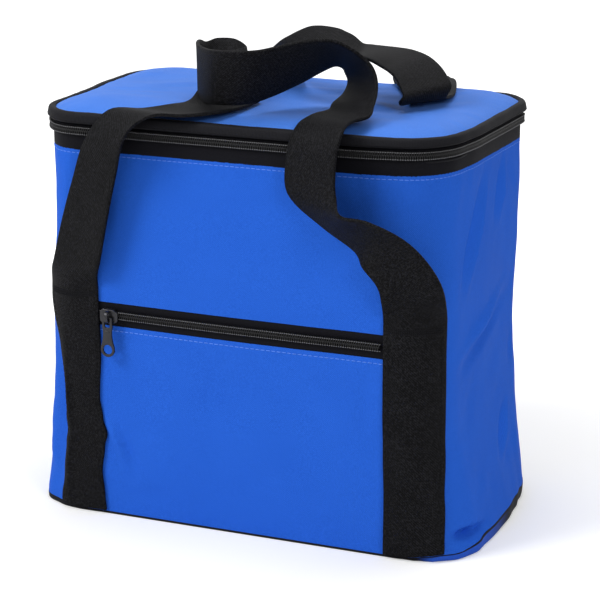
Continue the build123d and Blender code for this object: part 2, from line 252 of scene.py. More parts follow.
blackWebbing = {
    "name": "blackWebbing",
    "low": (0.0004, 0.0004, 0.0008),
    "high": (0.0170, 0.0170, 0.0200),
    "twill": 1.6,
    "pick": 0.8,
    "warp": 1.1,
    "rough": 0.60,
    "height": 0.26,
}


def twill(settings):
    # Webbing: short slanted floats between straight warp lines
    paint = newPaint(settings["name"])
    across, up = paint.flat()
    slant = ((across + up) * turns(settings["twill"])).wave()
    picks = (up * turns(settings["pick"])).wave()
    warp = (across * turns(settings["warp"])).wave()
    relief = (slant * 0.5 + picks * 0.25 + warp * 0.25 + 1.0) * 0.5
    fuzz = paint.speckle(900.0, 2.0)
    patch = paint.speckle(60.0, 3.0)
    lines = slant * 0.22 + picks * 0.08 + warp * 0.06
    share = lines + (fuzz - 0.5) * 2.8 + (patch - 0.5) * 0.3 + 0.24
    colour = paint.blend(share, settings["low"], settings["high"])
    shader = paint.node("BsdfPrincipled", {}, {
        "Base Color": colour,
        "Roughness": (fuzz - 0.5) * 0.2 + settings["rough"],
        "Sheen Weight": 0.01,
        "Sheen Roughness": 0.5,
        "Specular IOR Level": 0.08,
        "Normal": paint.ripple(0.9, settings["height"], relief + fuzz * 0.9),
    })
    return paint.finish(shader)


def ribbed(name, low, high, rib, rough=0.65, height=0.15):
    # Narrow woven tape with fine ribs across it
    paint = newPaint(name)
    across, up = paint.flat()
    ribs = ((across * turns(rib)).wave() + 1.0) * 0.5
    cross = ((up * turns(rib * 1.3)).wave() + 1.0) * 0.5
    fuzz = paint.speckle(1100.0, 2.0)
    colour = paint.blend(ribs * 0.35 + fuzz * 0.65, low, high)
    shader = paint.node("BsdfPrincipled", {}, {
        "Base Color": colour,
        "Roughness": (fuzz - 0.5) * 0.15 + rough,
        "Sheen Weight": 0.01,
        "Specular IOR Level": 0.08,
        "Normal": paint.ripple(0.6, height, ribs * 0.6 + cross * 0.2 + fuzz * 0.5),
    })
    return paint.finish(shader)


hemStrip = {
    "name": "hemStrip",
    "cloth": (0.018, 0.095, 0.560),
    "blackAndShade": (0.004, 0.004, 0.006),
    # Where the blue starts round the bag and where it fades to black towards the rear, which is
    # painted shade, and the height above which it is black, a painted shadow gap under the hem
    "starts": (118.0, 128.0),
    "ends": (158.0, 212.0),
    "shadowGap": (2.08, 2.22),
}


def hemPaint(settings):
    # The turned-under edge of the base: blue at the front right corner, black elsewhere. Its fade to
    # black towards the rear of the right side is painted shade, and the dark line along its top is a
    # painted shadow gap under the hem.
    paint = newPaint(settings["name"])
    across, up = paint.flat()
    fuzz = paint.speckle(1100.0, 2.0)
    starts = paint.fade(across, *settings["starts"])
    # Painted shade: the blue fades to black towards the rear of the right side
    ends = paint.fade(across, *settings["ends"], 1.0, 0.0)
    # Painted shadow gap: a dark line along the top edge, under the panel's hem
    shadowGap = paint.fade(up, *settings["shadowGap"], 1.0, 0.0)
    share = starts * ends * shadowGap * ((fuzz - 0.5) * 0.5 + 0.95)
    colour = paint.blend(share, settings["blackAndShade"], settings["cloth"])
    shader = paint.node("BsdfPrincipled", {}, {
        "Base Color": colour,
        "Roughness": (fuzz - 0.5) * 0.15 + 0.65,
        "Specular IOR Level": 0.15,
        "Normal": paint.ripple(0.6, 0.15, fuzz),
    })
    return paint.finish(shader)


def moulded(name, low, high, rough, metallic=0.0, grain=700.0, height=0.03, level=0.5):
    # Plastic, metal, foam and film, with a fine grain and slight changes of tone
    paint = newPaint(name)
    fine = paint.speckle(grain, 3.0)
    broad = paint.speckle(45.0, 2.0)
    shader = paint.node("BsdfPrincipled", {}, {
        "Base Color": paint.blend(fine * 0.5 + broad * 0.5, low, high),
        "Metallic": metallic,
        "Roughness": (fine - 0.5) * 0.2 + rough,
        "Specular IOR Level": level,
        "Normal": paint.ripple(0.5, height, fine),
    })
    return paint.finish(shader)


def threadFinish(name, low, high, level):
    return moulded(name, low, high, 0.7, height=0.05, level=level)


blueFabric = weave(blueCloth)
lidPaintedLightFabric = weave(lidPaintedLightCloth)
webbingFinish = twill(blackWebbing)
tapeFinish = ribbed("blackTape", (0.0010, 0.0010, 0.0020), (0.008, 0.008, 0.012), 0.7)
hemFinish = hemPaint(hemStrip)
bindingFinish = ribbed("blackBinding", (0.0025, 0.0025, 0.0035), (0.016, 0.016, 0.020), 0.9, 0.6, 0.2)
coilFinish = moulded("nylonCoil", (0.003, 0.003, 0.0035), (0.010, 0.010, 0.011), 0.42, level=0.25)
stitchGrey = threadFinish("greyThread", (0.07, 0.07, 0.075), (0.20, 0.20, 0.21), 0.2)
stitchBlue = threadFinish("blueThread", (0.06, 0.18, 0.68), (0.13, 0.28, 0.84), 0.2)
stitchBlack = threadFinish("blackThread", (0.002, 0.002, 0.003), (0.009, 0.009, 0.011), 0.1)
metalFinish = moulded(
    "gunMetal", (0.020, 0.020, 0.023), (0.060, 0.060, 0.066), 0.34,
    metallic=0.75, grain=900.0, height=0.01,
)
foamFinish = moulded("closedFoam", (0.62, 0.62, 0.60), (0.80, 0.80, 0.78), 0.9, height=0.3)
filmFinish = moulded(
    "liningFilm", (0.42, 0.44, 0.46), (0.58, 0.60, 0.62), 0.34,
    metallic=0.35, grain=220.0, height=0.25,
)
boardFinish = moulded("stiffBoard", (0.02, 0.02, 0.02), (0.05, 0.05, 0.05), 0.8)
print("materials made")

# Soft shell

shell = {"width": 268.0, "depth": 162.0, "radius": 30.0, "middle": 0.0, "seam": 231.0, "foot": 1.2}
core = {"width": 265.6, "depth": 156.4, "radius": 28.8, "middle": 1.6}

# How far the lower edge spreads, by the place round the bag
skirt = (
    (-404, 2), (-300, 4), (-270, 7), (-200, 8), (-150, 7.5), (-136, 6.5), (-122, 2.5), (-108, 0.5),
    (-90, 0), (100, 0), (110, 0.3), (119, 3.0), (128, 7.5), (141, 12.5), (154, 15.5), (180, 16.5),
    (205, 16), (230, 13.5), (246, 10.5), (263, 7.5), (285, 5), (310, 3), (404, 2),
)
# How far the lower hem lifts off the floor
hem = (
    (-404, 1), (-180, 3), (-120, 2), (-100, 0), (112, 0), (132, 2.8),
    (165, 7.2), (230, 8.0), (270, 6), (310, 2), (404, 1),
)


def flats(form):
    # Half the length of the straight front, and half that of a straight side
    return form["width"] / 2 - form["radius"], form["depth"] / 2 - form["radius"]


def roundLength(form):
    flat = form["width"] + form["depth"] - 4 * form["radius"]
    return 2 * flat + 2 * math.pi * form["radius"]


around = roundLength(shell)


def walk(form, distance):
    # Place and outward direction at a distance round a rounded plan, rightwards from its front
    radius = form["radius"]
    flatX, flatY = flats(form)
    quarter = math.pi / 2 * radius
    place = Vector((0.0, form["middle"] - form["depth"] / 2))
    heading = 0.0
    rest = distance % roundLength(form)
    runs = ((flatX, 0), (quarter, 1), (2 * flatY, 0), (quarter, 1), (2 * flatX, 0))
    for length, bends in runs + ((quarter, 1), (2 * flatY, 0), (quarter, 1), (flatX, 0)):
        step = min(rest, length)
        outward = Vector((math.sin(heading), -math.cos(heading)))
        if bends:
            centre = place - outward * radius
            heading += step / radius
            outward = Vector((math.sin(heading), -math.cos(heading)))
            place = centre + outward * radius
        else:
            place = place + Vector((math.cos(heading), math.sin(heading))) * step
        rest -= step
        if rest <= 0:
            break
    return place, Vector((math.sin(heading), -math.cos(heading)))


folds = {
    # (place, height, half length, half width, lean from upright, depth)
    "sideTop": (
        (171, 191, 50, 6.0, 30, -3.0), (180, 188, 46, 5.0, 30, 3.2), (217, 207, 26, 4.5, 18, -2.4),
        (225, 205, 24, 4.5, 14, 2.6), (239, 213, 17, 5.0, -42, -1.0), (150, 214, 20, 6.0, 20, 0.6),
    ),
    "sideMiddle": (
        (198, 122, 64, 7.0, 74, -3.0), (194, 132, 60, 6.0, 74, 3.6), (250, 100, 16, 6.5, 20, -1.1),
        (222, 96, 40, 14.0, 60, 0.8), (168, 84, 34, 12.0, 40, -0.7),
    ),
    "sideLow": (
        (222, 54, 26, 5.5, 36, -2.4), (230, 52, 24, 5.5, 36, 2.8), (230, 38, 22, 6.0, 73, -0.9),
        (153, 12, 22, 5.5, 98, -16.0), (176, 34, 24, 9.0, 56, 0.9), (250, 40, 20, 7.0, 10, 0.8),
    ),
    "leftSide": (
        (-126, 62, 62, 15.0, 0, -8.5), (-146, 60, 30, 7.0, -18, 1.2), (-134, 30, 18, 6.0, -40, 1.2),
        (-158, 150, 44, 9.0, 4, -1.4), (-178, 120, 50, 10.0, 6, 1.6), (-200, 90, 46, 9.0, -8, -1.6),
        (-222, 150, 50, 10.0, 2, 1.5), (-240, 70, 36, 9.0, 14, -1.5), (-146, 205, 28, 5.0, -6, 0.6),
    ),
    "front": (
        (-79, 50, 24, 5.0, -24, 2.6), (-72, 44, 22, 5.0, -26, -1.8), (-84, 196, 20, 8.0, 8, -1.4),
        (70, 205, 22, 10.0, -14, -0.7), (0, 60, 60, 34.0, 70, 0.9), (30, 175, 50, 26.0, 60, 0.7),
        (-40, 185, 30, 16.0, -50, -0.6), (86, 96, 30, 7.0, 6, -0.6), (-60, 15, 24, 9.0, 80, -0.6),
    ),
    "rear": (
        (-340, 150, 60, 14.0, 24, 1.4), (-370, 90, 60, 18.0, -16, -1.4), (350, 120, 60, 16.0, 14, 1.4),
        (310, 160, 44, 9.0, 4, -1.4), (380, 60, 50, 18.0, 40, 1.2), (-310, 70, 40, 10.0, -12, 1.2),
    ),
}
foldList = [fold for group in folds.values() for fold in group]
# How far each kind of slack moves the cloth
slack = {
    "footTuck": 0.8, "sideWaist": 2.6, "leftTop": 3.6, "cornerTop": 4.2, "belly": 1.4,
    "crumple": 1.1, "wrinkle": 0.25, "seamPucker": 0.55, "pocketPucker": 0.5,
}


def roundFrom(distance):
    # Place round the bag as a signed distance from the middle of its front
    return (distance + around / 2) % around - around / 2


def softness(distance, height, folded=True):
    # How far the cloth stands out from the plain shell
    s = roundFrom(distance)
    z = min(max(height, 0.0), shell["seam"])
    out = along(skirt, s) * max(0.0, 1 - max(z, 7.0) / 100) ** 1.8 * 1.13
    out -= slack["footTuck"] * smooth(7 - z, 0, 7) * hump(s, 200, 130)
    out -= slack["sideWaist"] * hump(z, 128, 46) * hump(s, 250, 70)
    out -= slack["leftTop"] * smooth(z, 135, 180) * smooth(-s, 104, 138) * smooth(230 + s, 0, 60)
    out -= slack["cornerTop"] * hump(s, 130, 46) * smooth(z, 150, 215)
    if z >= shell["seam"] or not folded:
        return out
    still = smooth(shell["seam"] - z, 0, 16)
    out += slack["belly"] * still * hump(s, 0, 98) * math.sin(math.pi * z / shell["seam"])
    clear = smooth(z - along(hem, s), 0, 15)
    for middle, level, reach, breadth, lean, depth in foldList:
        if abs(s - middle) > reach + breadth or abs(z - level) > reach + breadth:
            continue
        turn = math.radians(lean)
        lengthways = (z - level) * math.cos(turn) + (s - middle) * math.sin(turn)
        sideways = (s - middle) * math.cos(turn) - (z - level) * math.sin(turn)
        out += depth * clear * hump(lengthways, 0, reach) * hump(sideways, 0, breadth)
    crumple = noise.noise(Vector((s * 0.028, z * 0.022, 3.0)))
    loose = 0.35 + 0.65 * smooth(abs(s), 108, 150)
    wrinkle = noise.noise(Vector((s * 0.11, z * 0.07, 9.0)))
    out += slack["crumple"] * crumple * still * loose * clear
    out += slack["wrinkle"] * wrinkle * still * loose * clear
    # Puckers along the stitched seams
    nearTop = hump(z, shell["seam"], 20) * smooth(shell["seam"] - z, 0, 3)
    out += slack["seamPucker"] * nearTop * noise.noise(Vector((s * 0.16, z * 0.02, 5.0)))
    nearPocket = hump(z, 122, 16) * smooth(122.2 - z, 0, 2) * hump(s, 0, 110)
    out += slack["pocketPucker"] * nearPocket * noise.noise(Vector((s * 0.14, z * 0.02, 7.0)))
    return out


# How much higher the zip and the seam under it sit than the plain shell's, by place and height
zipRise = (
    (-240, 0), (-190, 0.6), (-150, 2.4), (-110, 1.4), (-80, 1.2), (60, 1.6),
    (110, 2.4), (170, 2.8), (250, 2.2), (300, 0), (404, 0),
)
riseShare = ((205, 0), (231, 0.75), (242, 1), (247.5, 0.9), (255, 0))
# The same for the pocket's zip
pocketRise = ((-106, 0), (-96, 1.1), (60, 1.0), (96, 0.9), (106, 0))
pocketShare = ((95, 0), (120, 1), (140, 1), (160, 0))


def hemLift(distance, height):
    return height + along(hem, roundFrom(distance)) * (1 - smooth(height, shell["foot"], 45))


def riseAt(distance, height):
    if 205 < height < 255:
        return along(zipRise, roundFrom(distance)) * along(riseShare, height)
    if 95 < height < 160:
        return along(pocketRise, roundFrom(distance)) * along(pocketShare, height)
    return 0.0


def onShell(distance, height, out=0.0, lifted=True):
    place, outward = walk(shell, distance)
    level = hemLift(distance, height) if lifted else height
    flat = place + outward * (out + softness(distance, level))
    return Vector((flat.x, flat.y, level + riseAt(distance, height))) * mm


def onCore(distance, height, out=0.0):
    place, outward = walk(core, distance)
    flat = place + outward * out
    return Vector((flat.x, flat.y, height)) * mm


# Making pieces


def flatSheet(left, right, low, high, cell, out=0.0):
    bm = bmesh.new()
    columns = max(1, round((right - left) / cell))
    rows = max(1, round((high - low) / cell))
    stand = Matrix.Rotation(math.radians(90), 4, "X")
    bmesh.ops.create_grid(bm, x_segments=columns, y_segments=rows, size=0.5, matrix=stand)
    spread = 1 / (max(v.co.x for v in bm.verts) - min(v.co.x for v in bm.verts))
    size = ((right - left) * spread, 1.0, (high - low) * spread)
    bmesh.ops.scale(bm, vec=size, verts=bm.verts)
    bmesh.ops.translate(bm, vec=((left + right) / 2, -out, (low + high) / 2), verts=bm.verts)
    return bm


def addBar(bm, left, right, inner, outer, low, high):
    # A block in flat space
    middle = ((left + right) / 2, -(inner + outer) / 2, (low + high) / 2)
    size = Matrix.Diagonal((right - left, outer - inner, high - low, 1.0))
    return bmesh.ops.create_cube(bm, size=1.0, matrix=Matrix.Translation(middle) @ size)["verts"]


def easeEdges(bm, edges, offset, segments=1):
    bmesh.ops.bevel(
        bm, geom=list(edges), offset=offset, offset_type="OFFSET", affect="EDGES",
        segments=segments, profile=0.5, material=-1,
    )


def edgesAlong(bm, axis, least=1e-6):
    return [e for e in bm.edges if abs(e.verts[0].co[axis] - e.verts[1].co[axis]) > least]


def openEnds(bm):
    # The rounded end faces have more than four corners
    ends = [f for f in bm.faces if len(f.verts) > 4]
    bmesh.ops.delete(bm, geom=ends, context="FACES_ONLY")


def flatBar(left, right, inner, outer, low, high, cell, ease=0.3, segments=2, rows=0, axis=0):
    # A rounded band that can be bent along one of its axes
    bm = bmesh.new()
    addBar(bm, left, right, inner, outer, low, high)
    easeEdges(bm, edgesAlong(bm, axis), ease, segments)
    length = (right - left) if axis == 0 else (high - low)
    cuts = max(1, round(length / cell)) - 1
    bmesh.ops.subdivide_edges(bm, edges=edgesAlong(bm, axis), cuts=cuts, use_grid_fill=False)
    if rows:
        cross = 2 if axis == 0 else 0
        reach = (high - low) if cross == 2 else (right - left)
        wide = edgesAlong(bm, cross, reach * 0.6)
        openEnds(bm)
        bmesh.ops.subdivide_edges(bm, edges=wide, cuts=rows, use_grid_fill=True)
        rim = [e for e in bm.edges if e.is_boundary]
        bmesh.ops.holes_fill(bm, edges=rim, sides=0)
    return bm


def asMade(place):
    # Across and up, before it is wrapped
    return place.x * mm, place.z * mm


def keepFlat(bm, where=asMade):
    # Remembers the cloth's own directions for its weave
    layer = bm.loops.layers.uv.new("flat")
    for face in bm.faces:
        for loop in face.loops:
            loop[layer].uv = where(loop.vert.co)


def wrap(bm, where):
    for vert in bm.verts:
        vert.co = where(vert.co.x, vert.co.z, -vert.co.y)


def wrapRound(bm, where):
    # A band that goes all the way round has its two ends joined
    wrap(bm, where)
    bmesh.ops.remove_doubles(bm, verts=bm.verts, dist=0.02 * mm)


def makePiece(name, bm, material, body, nodes=(), sharp=40.0):
    mesh = bpy.data.meshes.new(name)
    bm.to_mesh(mesh)
    bm.free()
    mesh.shade_smooth()
    mesh.set_sharp_from_angle(angle=math.radians(sharp))
    piece = bpy.data.objects.new(name, mesh)
    mesh.materials.append(material)
    scene.collection.objects.link(piece)
    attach(piece, body)
    if nodes:
        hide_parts(*nodes)
    return piece


def thicken(piece, depth, crisp=True):
    # Cloth thickness, inwards from the face
    made = piece.modifiers.new("thickness", "SOLIDIFY")
    made.thickness = depth * mm
    made.offset = -1.0
    if crisp:
        made = piece.modifiers.new("crisp", "EDGE_SPLIT")
        made.split_angle = math.radians(60)


# Fabric panels

panels = {
    "thickness": 1.0,
    "cell": 2.4,
    "strapSeam": 111.6,
    "pocketLow": 122.2,
    "pocketHigh": 137.0,
}


def clothPanel(name, left, right, low, high, node):
    bm = flatSheet(left, right, low, high, panels["cell"])
    keepFlat(bm)
    wrap(bm, onShell)
    piece = makePiece(name, bm, blueFabric, "bag", [node])
    thicken(piece, panels["thickness"])
    size = ((right - left) * mm, (high - low) * mm)
    return piece


seam = panels["strapSeam"]
top = shell["seam"]
foot = shell["foot"]
clothPanel("frontUpperPanel", -seam, seam, panels["pocketHigh"], top, "front_upper_panel")
clothPanel("frontPocketPanel", -seam, seam, foot, panels["pocketLow"], "front_pocket_panel")
clothPanel("rightSidePanel", seam, around / 2 - seam, foot, top, "right_side_panel")
clothPanel("leftSidePanel", seam - around / 2, -seam, foot, top, "left_side_panel")
clothPanel("rearPanel", around / 2 - seam, around / 2 + seam, foot, top, "rear_panel")
print("fabric panels made")

# Base

base = {
    "cell": 4.0,
    "inset": 2.0,
    "lift": 0.2,
    "weltLow": 0.2,
    "weltHigh": 2.6,
    "weltIn": -1.2,
    "weltOut": 0.7,
    "weltTop": 1.6,
    "cornerLift": 5 / 7,
    "flat": (0.290, 0.170),
    "area": 0.0455,
}


def fan(name, cell, ringPlace, steps, material, body, nodes, flip=False):
    # A sheet that fills a closed outline, in rows from its edge to its spine
    bm = bmesh.new()
    stand = Matrix.Rotation(math.radians(90), 4, "X")
    columns = round(around / cell)
    bmesh.ops.create_grid(bm, x_segments=columns, y_segments=steps, size=0.5, matrix=stand)
    low = min(v.co.x for v in bm.verts)
    high = max(v.co.x for v in bm.verts)
    for vert in bm.verts:
        distance = (vert.co.x - low) / (high - low) * around
        share = (vert.co.z - low) / (high - low)
        vert.co = ringPlace(distance, share)
    bmesh.ops.remove_doubles(bm, verts=bm.verts, dist=0.02 * mm)
    bmesh.ops.recalc_face_normals(bm, faces=bm.faces)
    upward = sum(f.normal.z * f.calc_area() for f in bm.faces)
    if (upward < 0) != flip:
        bmesh.ops.reverse_faces(bm, faces=bm.faces)
    keepFlat(bm, lambda place: (place.x, place.y))
    return makePiece(name, bm, material, body, nodes)


spineHalf = (shell["width"] - shell["depth"]) / 2


def towardSpine(edge, share):
    # Part of the way from a point of the edge to the middle line of the plan
    spine = Vector((min(max(edge.x, -spineHalf * mm), spineHalf * mm), 0.0))
    return Vector((edge.x, edge.y)).lerp(spine, share)


def basePlace(distance, share):
    place, outward = walk(shell, distance)
    edge = (place + outward * (softness(distance, 0.6, False) - base["inset"])) * mm
    flat = towardSpine(edge, share)
    lift = base["cornerLift"] * hump(share, 0, 0.12) * along(hem, roundFrom(distance))
    return Vector((flat.x, flat.y, (lift + base["lift"]) * mm))


basePanel = fan(
    "basePanel", base["cell"], basePlace, 14, tapeFinish, "bag", ["base_panel"],
    flip=True,
)


def weltPlace(distance, height, out):
    # The base's own edge, below the hem, turned in under the bag
    raised = along(hem, roundFrom(distance))
    share = (height - base["weltLow"]) / (base["weltHigh"] - base["weltLow"])
    level = base["weltLow"] + share * (base["weltTop"] + raised - base["weltLow"])
    tuck = -0.4 - 0.9 * (1 - share) * smooth(raised, 0, 5)
    place, outward = walk(shell, distance)
    flat = place + outward * (out + tuck + softness(distance, hemLift(distance, foot), False))
    return Vector((flat.x, flat.y, level)) * mm


bm = flatBar(
    0, around, base["weltIn"], base["weltOut"], base["weltLow"], base["weltHigh"], 3.0, ease=0.4,
)
keepFlat(bm)
openEnds(bm)
wrapRound(bm, weltPlace)
makePiece("baseWelt", bm, hemFinish, "bag", ["base_binding"])
print("base made")

# Insulation and lining

lining = {
    "foam": 7.0,
    "foamLow": 1.4,
    "foamHigh": 239.6,
    "setBack": 2.4,
    "rim": 240.0,
    "floor": 11.5,
    "slack": 1.1,
    "ripple": 0.35,
    "cell": 6.0,
    "wallIn": 7.1,
    "floorIn": 7.2,
    "inside": {"width": 251.6, "depth": 142.4, "radius": 21.8},
    "wallHeight": 0.2294,
    "floorSize": (0.2515, 0.1424),
}
coreAround = roundLength(core)


def foamPlace(distance, height, out):
    # The foam's outer face gives way where the cloth is drawn in, and its inner face stays straight
    share = 1 + out / lining["foam"]
    follow = softness(distance * around / coreAround, height) * mm * share
    outward = walk(core, distance)[1]
    give = min(follow, 0.0) - lining["setBack"] * mm * share
    return onCore(distance, height, out) + Vector((outward.x, outward.y, 0)) * give


def foamWall(name, left, right, node):
    low, high = lining["foamLow"], lining["foamHigh"]
    bm = flatBar(left, right, -lining["foam"], -0.2, low, high, lining["cell"], 0.5, 1, rows=20)
    keepFlat(bm)
    wrap(bm, foamPlace)
    piece = makePiece(name, bm, foamFinish, "bag", [node])
    return piece


coreFlat = flats(core)[0]
foamWall("frontFoam", -coreFlat, coreFlat, "front_foam")
foamWall("rightFoam", coreFlat + 0.1, coreAround / 2 - coreFlat - 0.1, "right_foam")
foamWall("rearFoam", coreAround / 2 - coreFlat, coreAround / 2 + coreFlat, "rear_foam")
foamWall("leftFoam", coreAround / 2 + coreFlat + 0.1, coreAround - coreFlat - 0.1, "left_foam")


def linerWave(distance, height):
    # Slack in the lining, held flat at its seams
    held = smooth(height, 14, 40) * smooth(lining["rim"] - height, 0, 25)
    return lining["slack"] * held * noise.noise(Vector((distance * 0.03, height * 0.018, 21.0)))


def linerPlace(distance, height, out):
    return onCore(distance, height, out - abs(linerWave(distance, height)))


bm = flatSheet(0, coreAround, lining["floor"] - 0.8, lining["rim"], lining["cell"], -lining["wallIn"])
keepFlat(bm)
wrapRound(bm, linerPlace)
bmesh.ops.reverse_faces(bm, faces=bm.faces)
linerWalls = makePiece("linerWalls", bm, filmFinish, "bag", ["liner_tub"])
wallSize = (roundLength(lining["inside"]) * mm, lining["wallHeight"])


def linerFloorPlace(distance, share):
    edge = onCore(distance * coreAround / around, lining["floor"], -lining["floorIn"])
    flat = towardSpine(edge, share)
    uneven = noise.noise(Vector((flat.x * 30, flat.y * 30, 2.0)))
    ripple = lining["ripple"] * uneven * smooth(share, 0, 0.3)
    return Vector((flat.x, flat.y, (lining["floor"] - 0.4 + ripple) * mm))


linerFloor = fan(
    "linerFloor", lining["cell"], linerFloorPlace, 12, filmFinish, "bag", [],
)

mouth = {"depth": (-8.4, 0.0), "levels": (239.9, 241.5), "ease": 0.7}
bm = flatBar(0, coreAround, *mouth["depth"], *mouth["levels"], 3.0, mouth["ease"], 3)
keepFlat(bm)
openEnds(bm)
wrapRound(bm, onCore)
makePiece("mouthBinding", bm, bindingFinish, "bag", ["mouth_binding"])

backing = {
    "reach": 104.0,
    "levels": (1.2, 239.5),
    "face": 77.2,
    "thickness": 0.6,
    "flat": (0.208, 0.2383),
}
bm = flatSheet(-backing["reach"], backing["reach"], *backing["levels"], 8.0, backing["face"])
keepFlat(bm)
bmesh.ops.scale(bm, vec=(mm, mm, mm), verts=bm.verts)
pocketBacking = makePiece("pocketBacking", bm, filmFinish, "bag", ["pocket_backing"])
thicken(pocketBacking, backing["thickness"])
for name, finish in (("base_foam", foamFinish), ("base_board", boardFinish)):
    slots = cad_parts[name].data.materials
    slots.clear()
    slots.append(finish)
print("insulation made")

# Zips

zips = {
    "lidEnd": 64.0,
    "lidMiddle": 242.5,
    "coil": 3.0,
    "part": 0.12,
    "pitch": 1.42,
    "tooth": 0.92,
    "lidProud": 2.5,
    "pocketProud": 2.2,
    "pocketMiddle": 129.6,
    "pocketReach": 104.0,
    "pocketCoil": (-88.0, 96.5),
    "stitchIn": 0.95,
    "stitch": (0.95, 0.47),
    "lidTape": (-0.8, 0.0),
    "pocketTape": (-1.9, -0.35),
    "tapeTop": 247.2,
    "overlap": 1.0,
    "stop": 3.0,
}
# From the middle of the front, round a corner and along the side, to beyond its middle
flatX, flatY = flats(shell)
zipReach = flatX + math.pi / 2 * shell["radius"] + flatY + zips["lidEnd"]


def band(name, span, levels, depth, finish, body, nodes, ease=0.2, cell=3.0):
    # A narrow strip round the shell: where it starts and ends, its two heights, its two depths
    bm = flatBar(*span, *depth, *levels, cell, ease, 2)
    keepFlat(bm)
    wrap(bm, onShell)
    return makePiece(name, bm, finish, body, nodes)


def tape(name, span, levels, depth, body, node):
    return band(name, span, levels, depth, tapeFinish, body, [node])


def teeth(name, span, middle, side, proud, body, node, place):
    # One coil: a row of small rounded loops that lean a little
    bm = bmesh.new()
    left, right = span
    count = int((right - left) / zips["pitch"])
    inner = middle - side * 0.5
    outer = middle + side * (zips["coil"] - 0.35)
    low, high = sorted((inner, outer))
    for index in range(count):
        start = left + (index + (0.5 if side > 0 else 0.0)) * zips["pitch"]
        verts = addBar(bm, start, start + zips["tooth"], 0.1, proud, low, high)
        for vert in verts:
            vert.co.x += (vert.co.z - middle) * side * 0.10
    easeEdges(bm, bm.edges, 0.26)
    keepFlat(bm)
    wrap(bm, place)
    return makePiece(name, bm, coilFinish, body, [node], sharp=75)


def stitches(name, span, height, size, depth, finish, body, place):
    # A row of short raised stitches, of a length, gap and width
    bm = bmesh.new()
    start, right = span
    length, gap, width = size
    inner, outer = depth
    while start + length < right:
        addBar(bm, start, start + length, inner, outer, height - width / 2, height + width / 2)
        start += length + gap
    easeEdges(bm, bm.edges, min(width, outer - inner) * 0.3)
    keepFlat(bm)
    wrap(bm, place)
    return makePiece(name, bm, finish, body, [], sharp=75)


lidZip = zips["lidMiddle"]
part = zips["part"]
proud = zips["lidProud"]
lidSpan = (-zipReach, zipReach)
depth = zips["lidTape"]
lowerLevels = (top - 0.4, lidZip - part)
upperLevels = (lidZip + part, zips["tapeTop"])
tape("lidZipLowerTape", lidSpan, lowerLevels, depth, "bag", "lid_zip_lower_tape")
tape("lidZipUpperTape", lidSpan, upperLevels, depth, "lid", "lid_zip_upper_tape")
for side, body, label in ((-1, "bag", "Lower"), (1, "lid", "Upper")):
    node = f"lid_zip_{label.lower()}_coil"
    teeth(f"lidZip{label}Coil", lidSpan, lidZip, side, proud, body, node, onShell)
for side, body, label in ((-1, "bag", "Lower"), (1, "lid", "Upper")):
    level = lidZip + side * (zips["coil"] - zips["stitchIn"])
    stitches(
        f"lidCoil{label}Stitches", lidSpan, level, (*zips["stitch"], 0.5), (proud - 0.5, proud + 0.28),
        stitchGrey, body, onShell,
    )
    levels = sorted((lidZip + side * 2.5, lidZip + side * 3.3))
    band(
        f"lidCoil{label}Cord", lidSpan, levels, (-0.2, 1.1), tapeFinish, body, [],
        ease=0.35,
    )
for side, label in ((-1, "Left"), (1, "Right")):
    ends = sorted((side * zipReach, side * (zipReach + zips["stop"])))
    band(
        f"lidZipStop{label}", ends, (lidZip - 2.9, lidZip - 0.2), (0.0, 2.7), metalFinish,
        "bag", ["lid_zip_stops"], ease=0.4, cell=1.5,
    )

bm = flatBar(
    zipReach, around - zipReach, *depth, top - 0.4, zips["tapeTop"] - 0.2, 4.0, 0.2, 1, rows=8,
)
keepFlat(bm)
wrap(bm, onShell)
hingeStrip = makePiece("lidHingeStrip", bm, tapeFinish, "bag", ["lid_hinge_strip"])
hingeStrip.parent = None
rear = shell["depth"] / 2 * mm
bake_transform(hingeStrip)


def onFront(distance, height, out=0.0):
    return onShell(distance, height, out, lifted=False)


pocketZip = zips["pocketMiddle"]
proud = zips["pocketProud"]
pocketSpan = (-zips["pocketReach"], zips["pocketReach"])
depth = zips["pocketTape"]
lowerLevels = (panels["pocketLow"] - zips["overlap"], pocketZip - part)
upperLevels = (pocketZip + part, panels["pocketHigh"] + zips["overlap"])
tape("pocketZipLowerTape", pocketSpan, lowerLevels, depth, "bag", "pocket_zip_lower_tape")
tape("pocketZipUpperTape", pocketSpan, upperLevels, depth, "bag", "pocket_zip_upper_tape")
for side, label in ((-1, "Lower"), (1, "Upper")):
    span = zips["pocketCoil"]
    node = f"pocket_zip_{label.lower()}_coil"
    teeth(f"pocketZip{label}Coil", span, pocketZip, side, proud, "bag", node, onFront)
    level = pocketZip + side * (zips["coil"] - zips["stitchIn"])
    stitches(
        f"pocketCoil{label}Stitches", span, level, (*zips["stitch"], 0.45),
        (proud - 0.5, proud + 0.22), stitchGrey, "bag", onFront,
    )
print("zips made")

# Topstitching: length, gap and width, and how deep it lies

topstitch = {"size": (2.5, 0.9, 0.5), "depth": (-0.25, 0.18)}
for name, reach, level in (
    ("lidSeamTopstitch", zipReach - 4, top - 2.2),
    ("pocketTopstitch", seam - 2, panels["pocketLow"] - 3.0),
):
    stitches(
        name, (-reach, reach), level, topstitch["size"], topstitch["depth"], stitchBlue,
        "bag", onShell,
    )

# Lid

lid = {
    "bottom": 247.0,
    "height": 7.5,
    "proud": 3.6,
    "crown": 6.0,
    "ease": 10.0,
    "inset": 1.6,
    "foam": 9.0,
    "foamInset": 2.4,
    "cover": 1.4,
    "under": 243.9,
    "underSag": 0.5,
    "edgePucker": 0.55,
    "broadSag": 1.5,
    "fineSag": 0.5,
    "rollDrift": 0.30,
    "rollNub": 0.16,
    "rollEase": 1.7,
    "rollLean": 0.9,
    "stitch": (2.4, 0.9, 0.4),
    "stitchDrop": 6.1,
}
lidTop = lid["bottom"] + lid["height"]


def crownRise(distance):
    return lid["crown"] * (1 - math.exp(-max(distance, 0.0) / lid["ease"]))


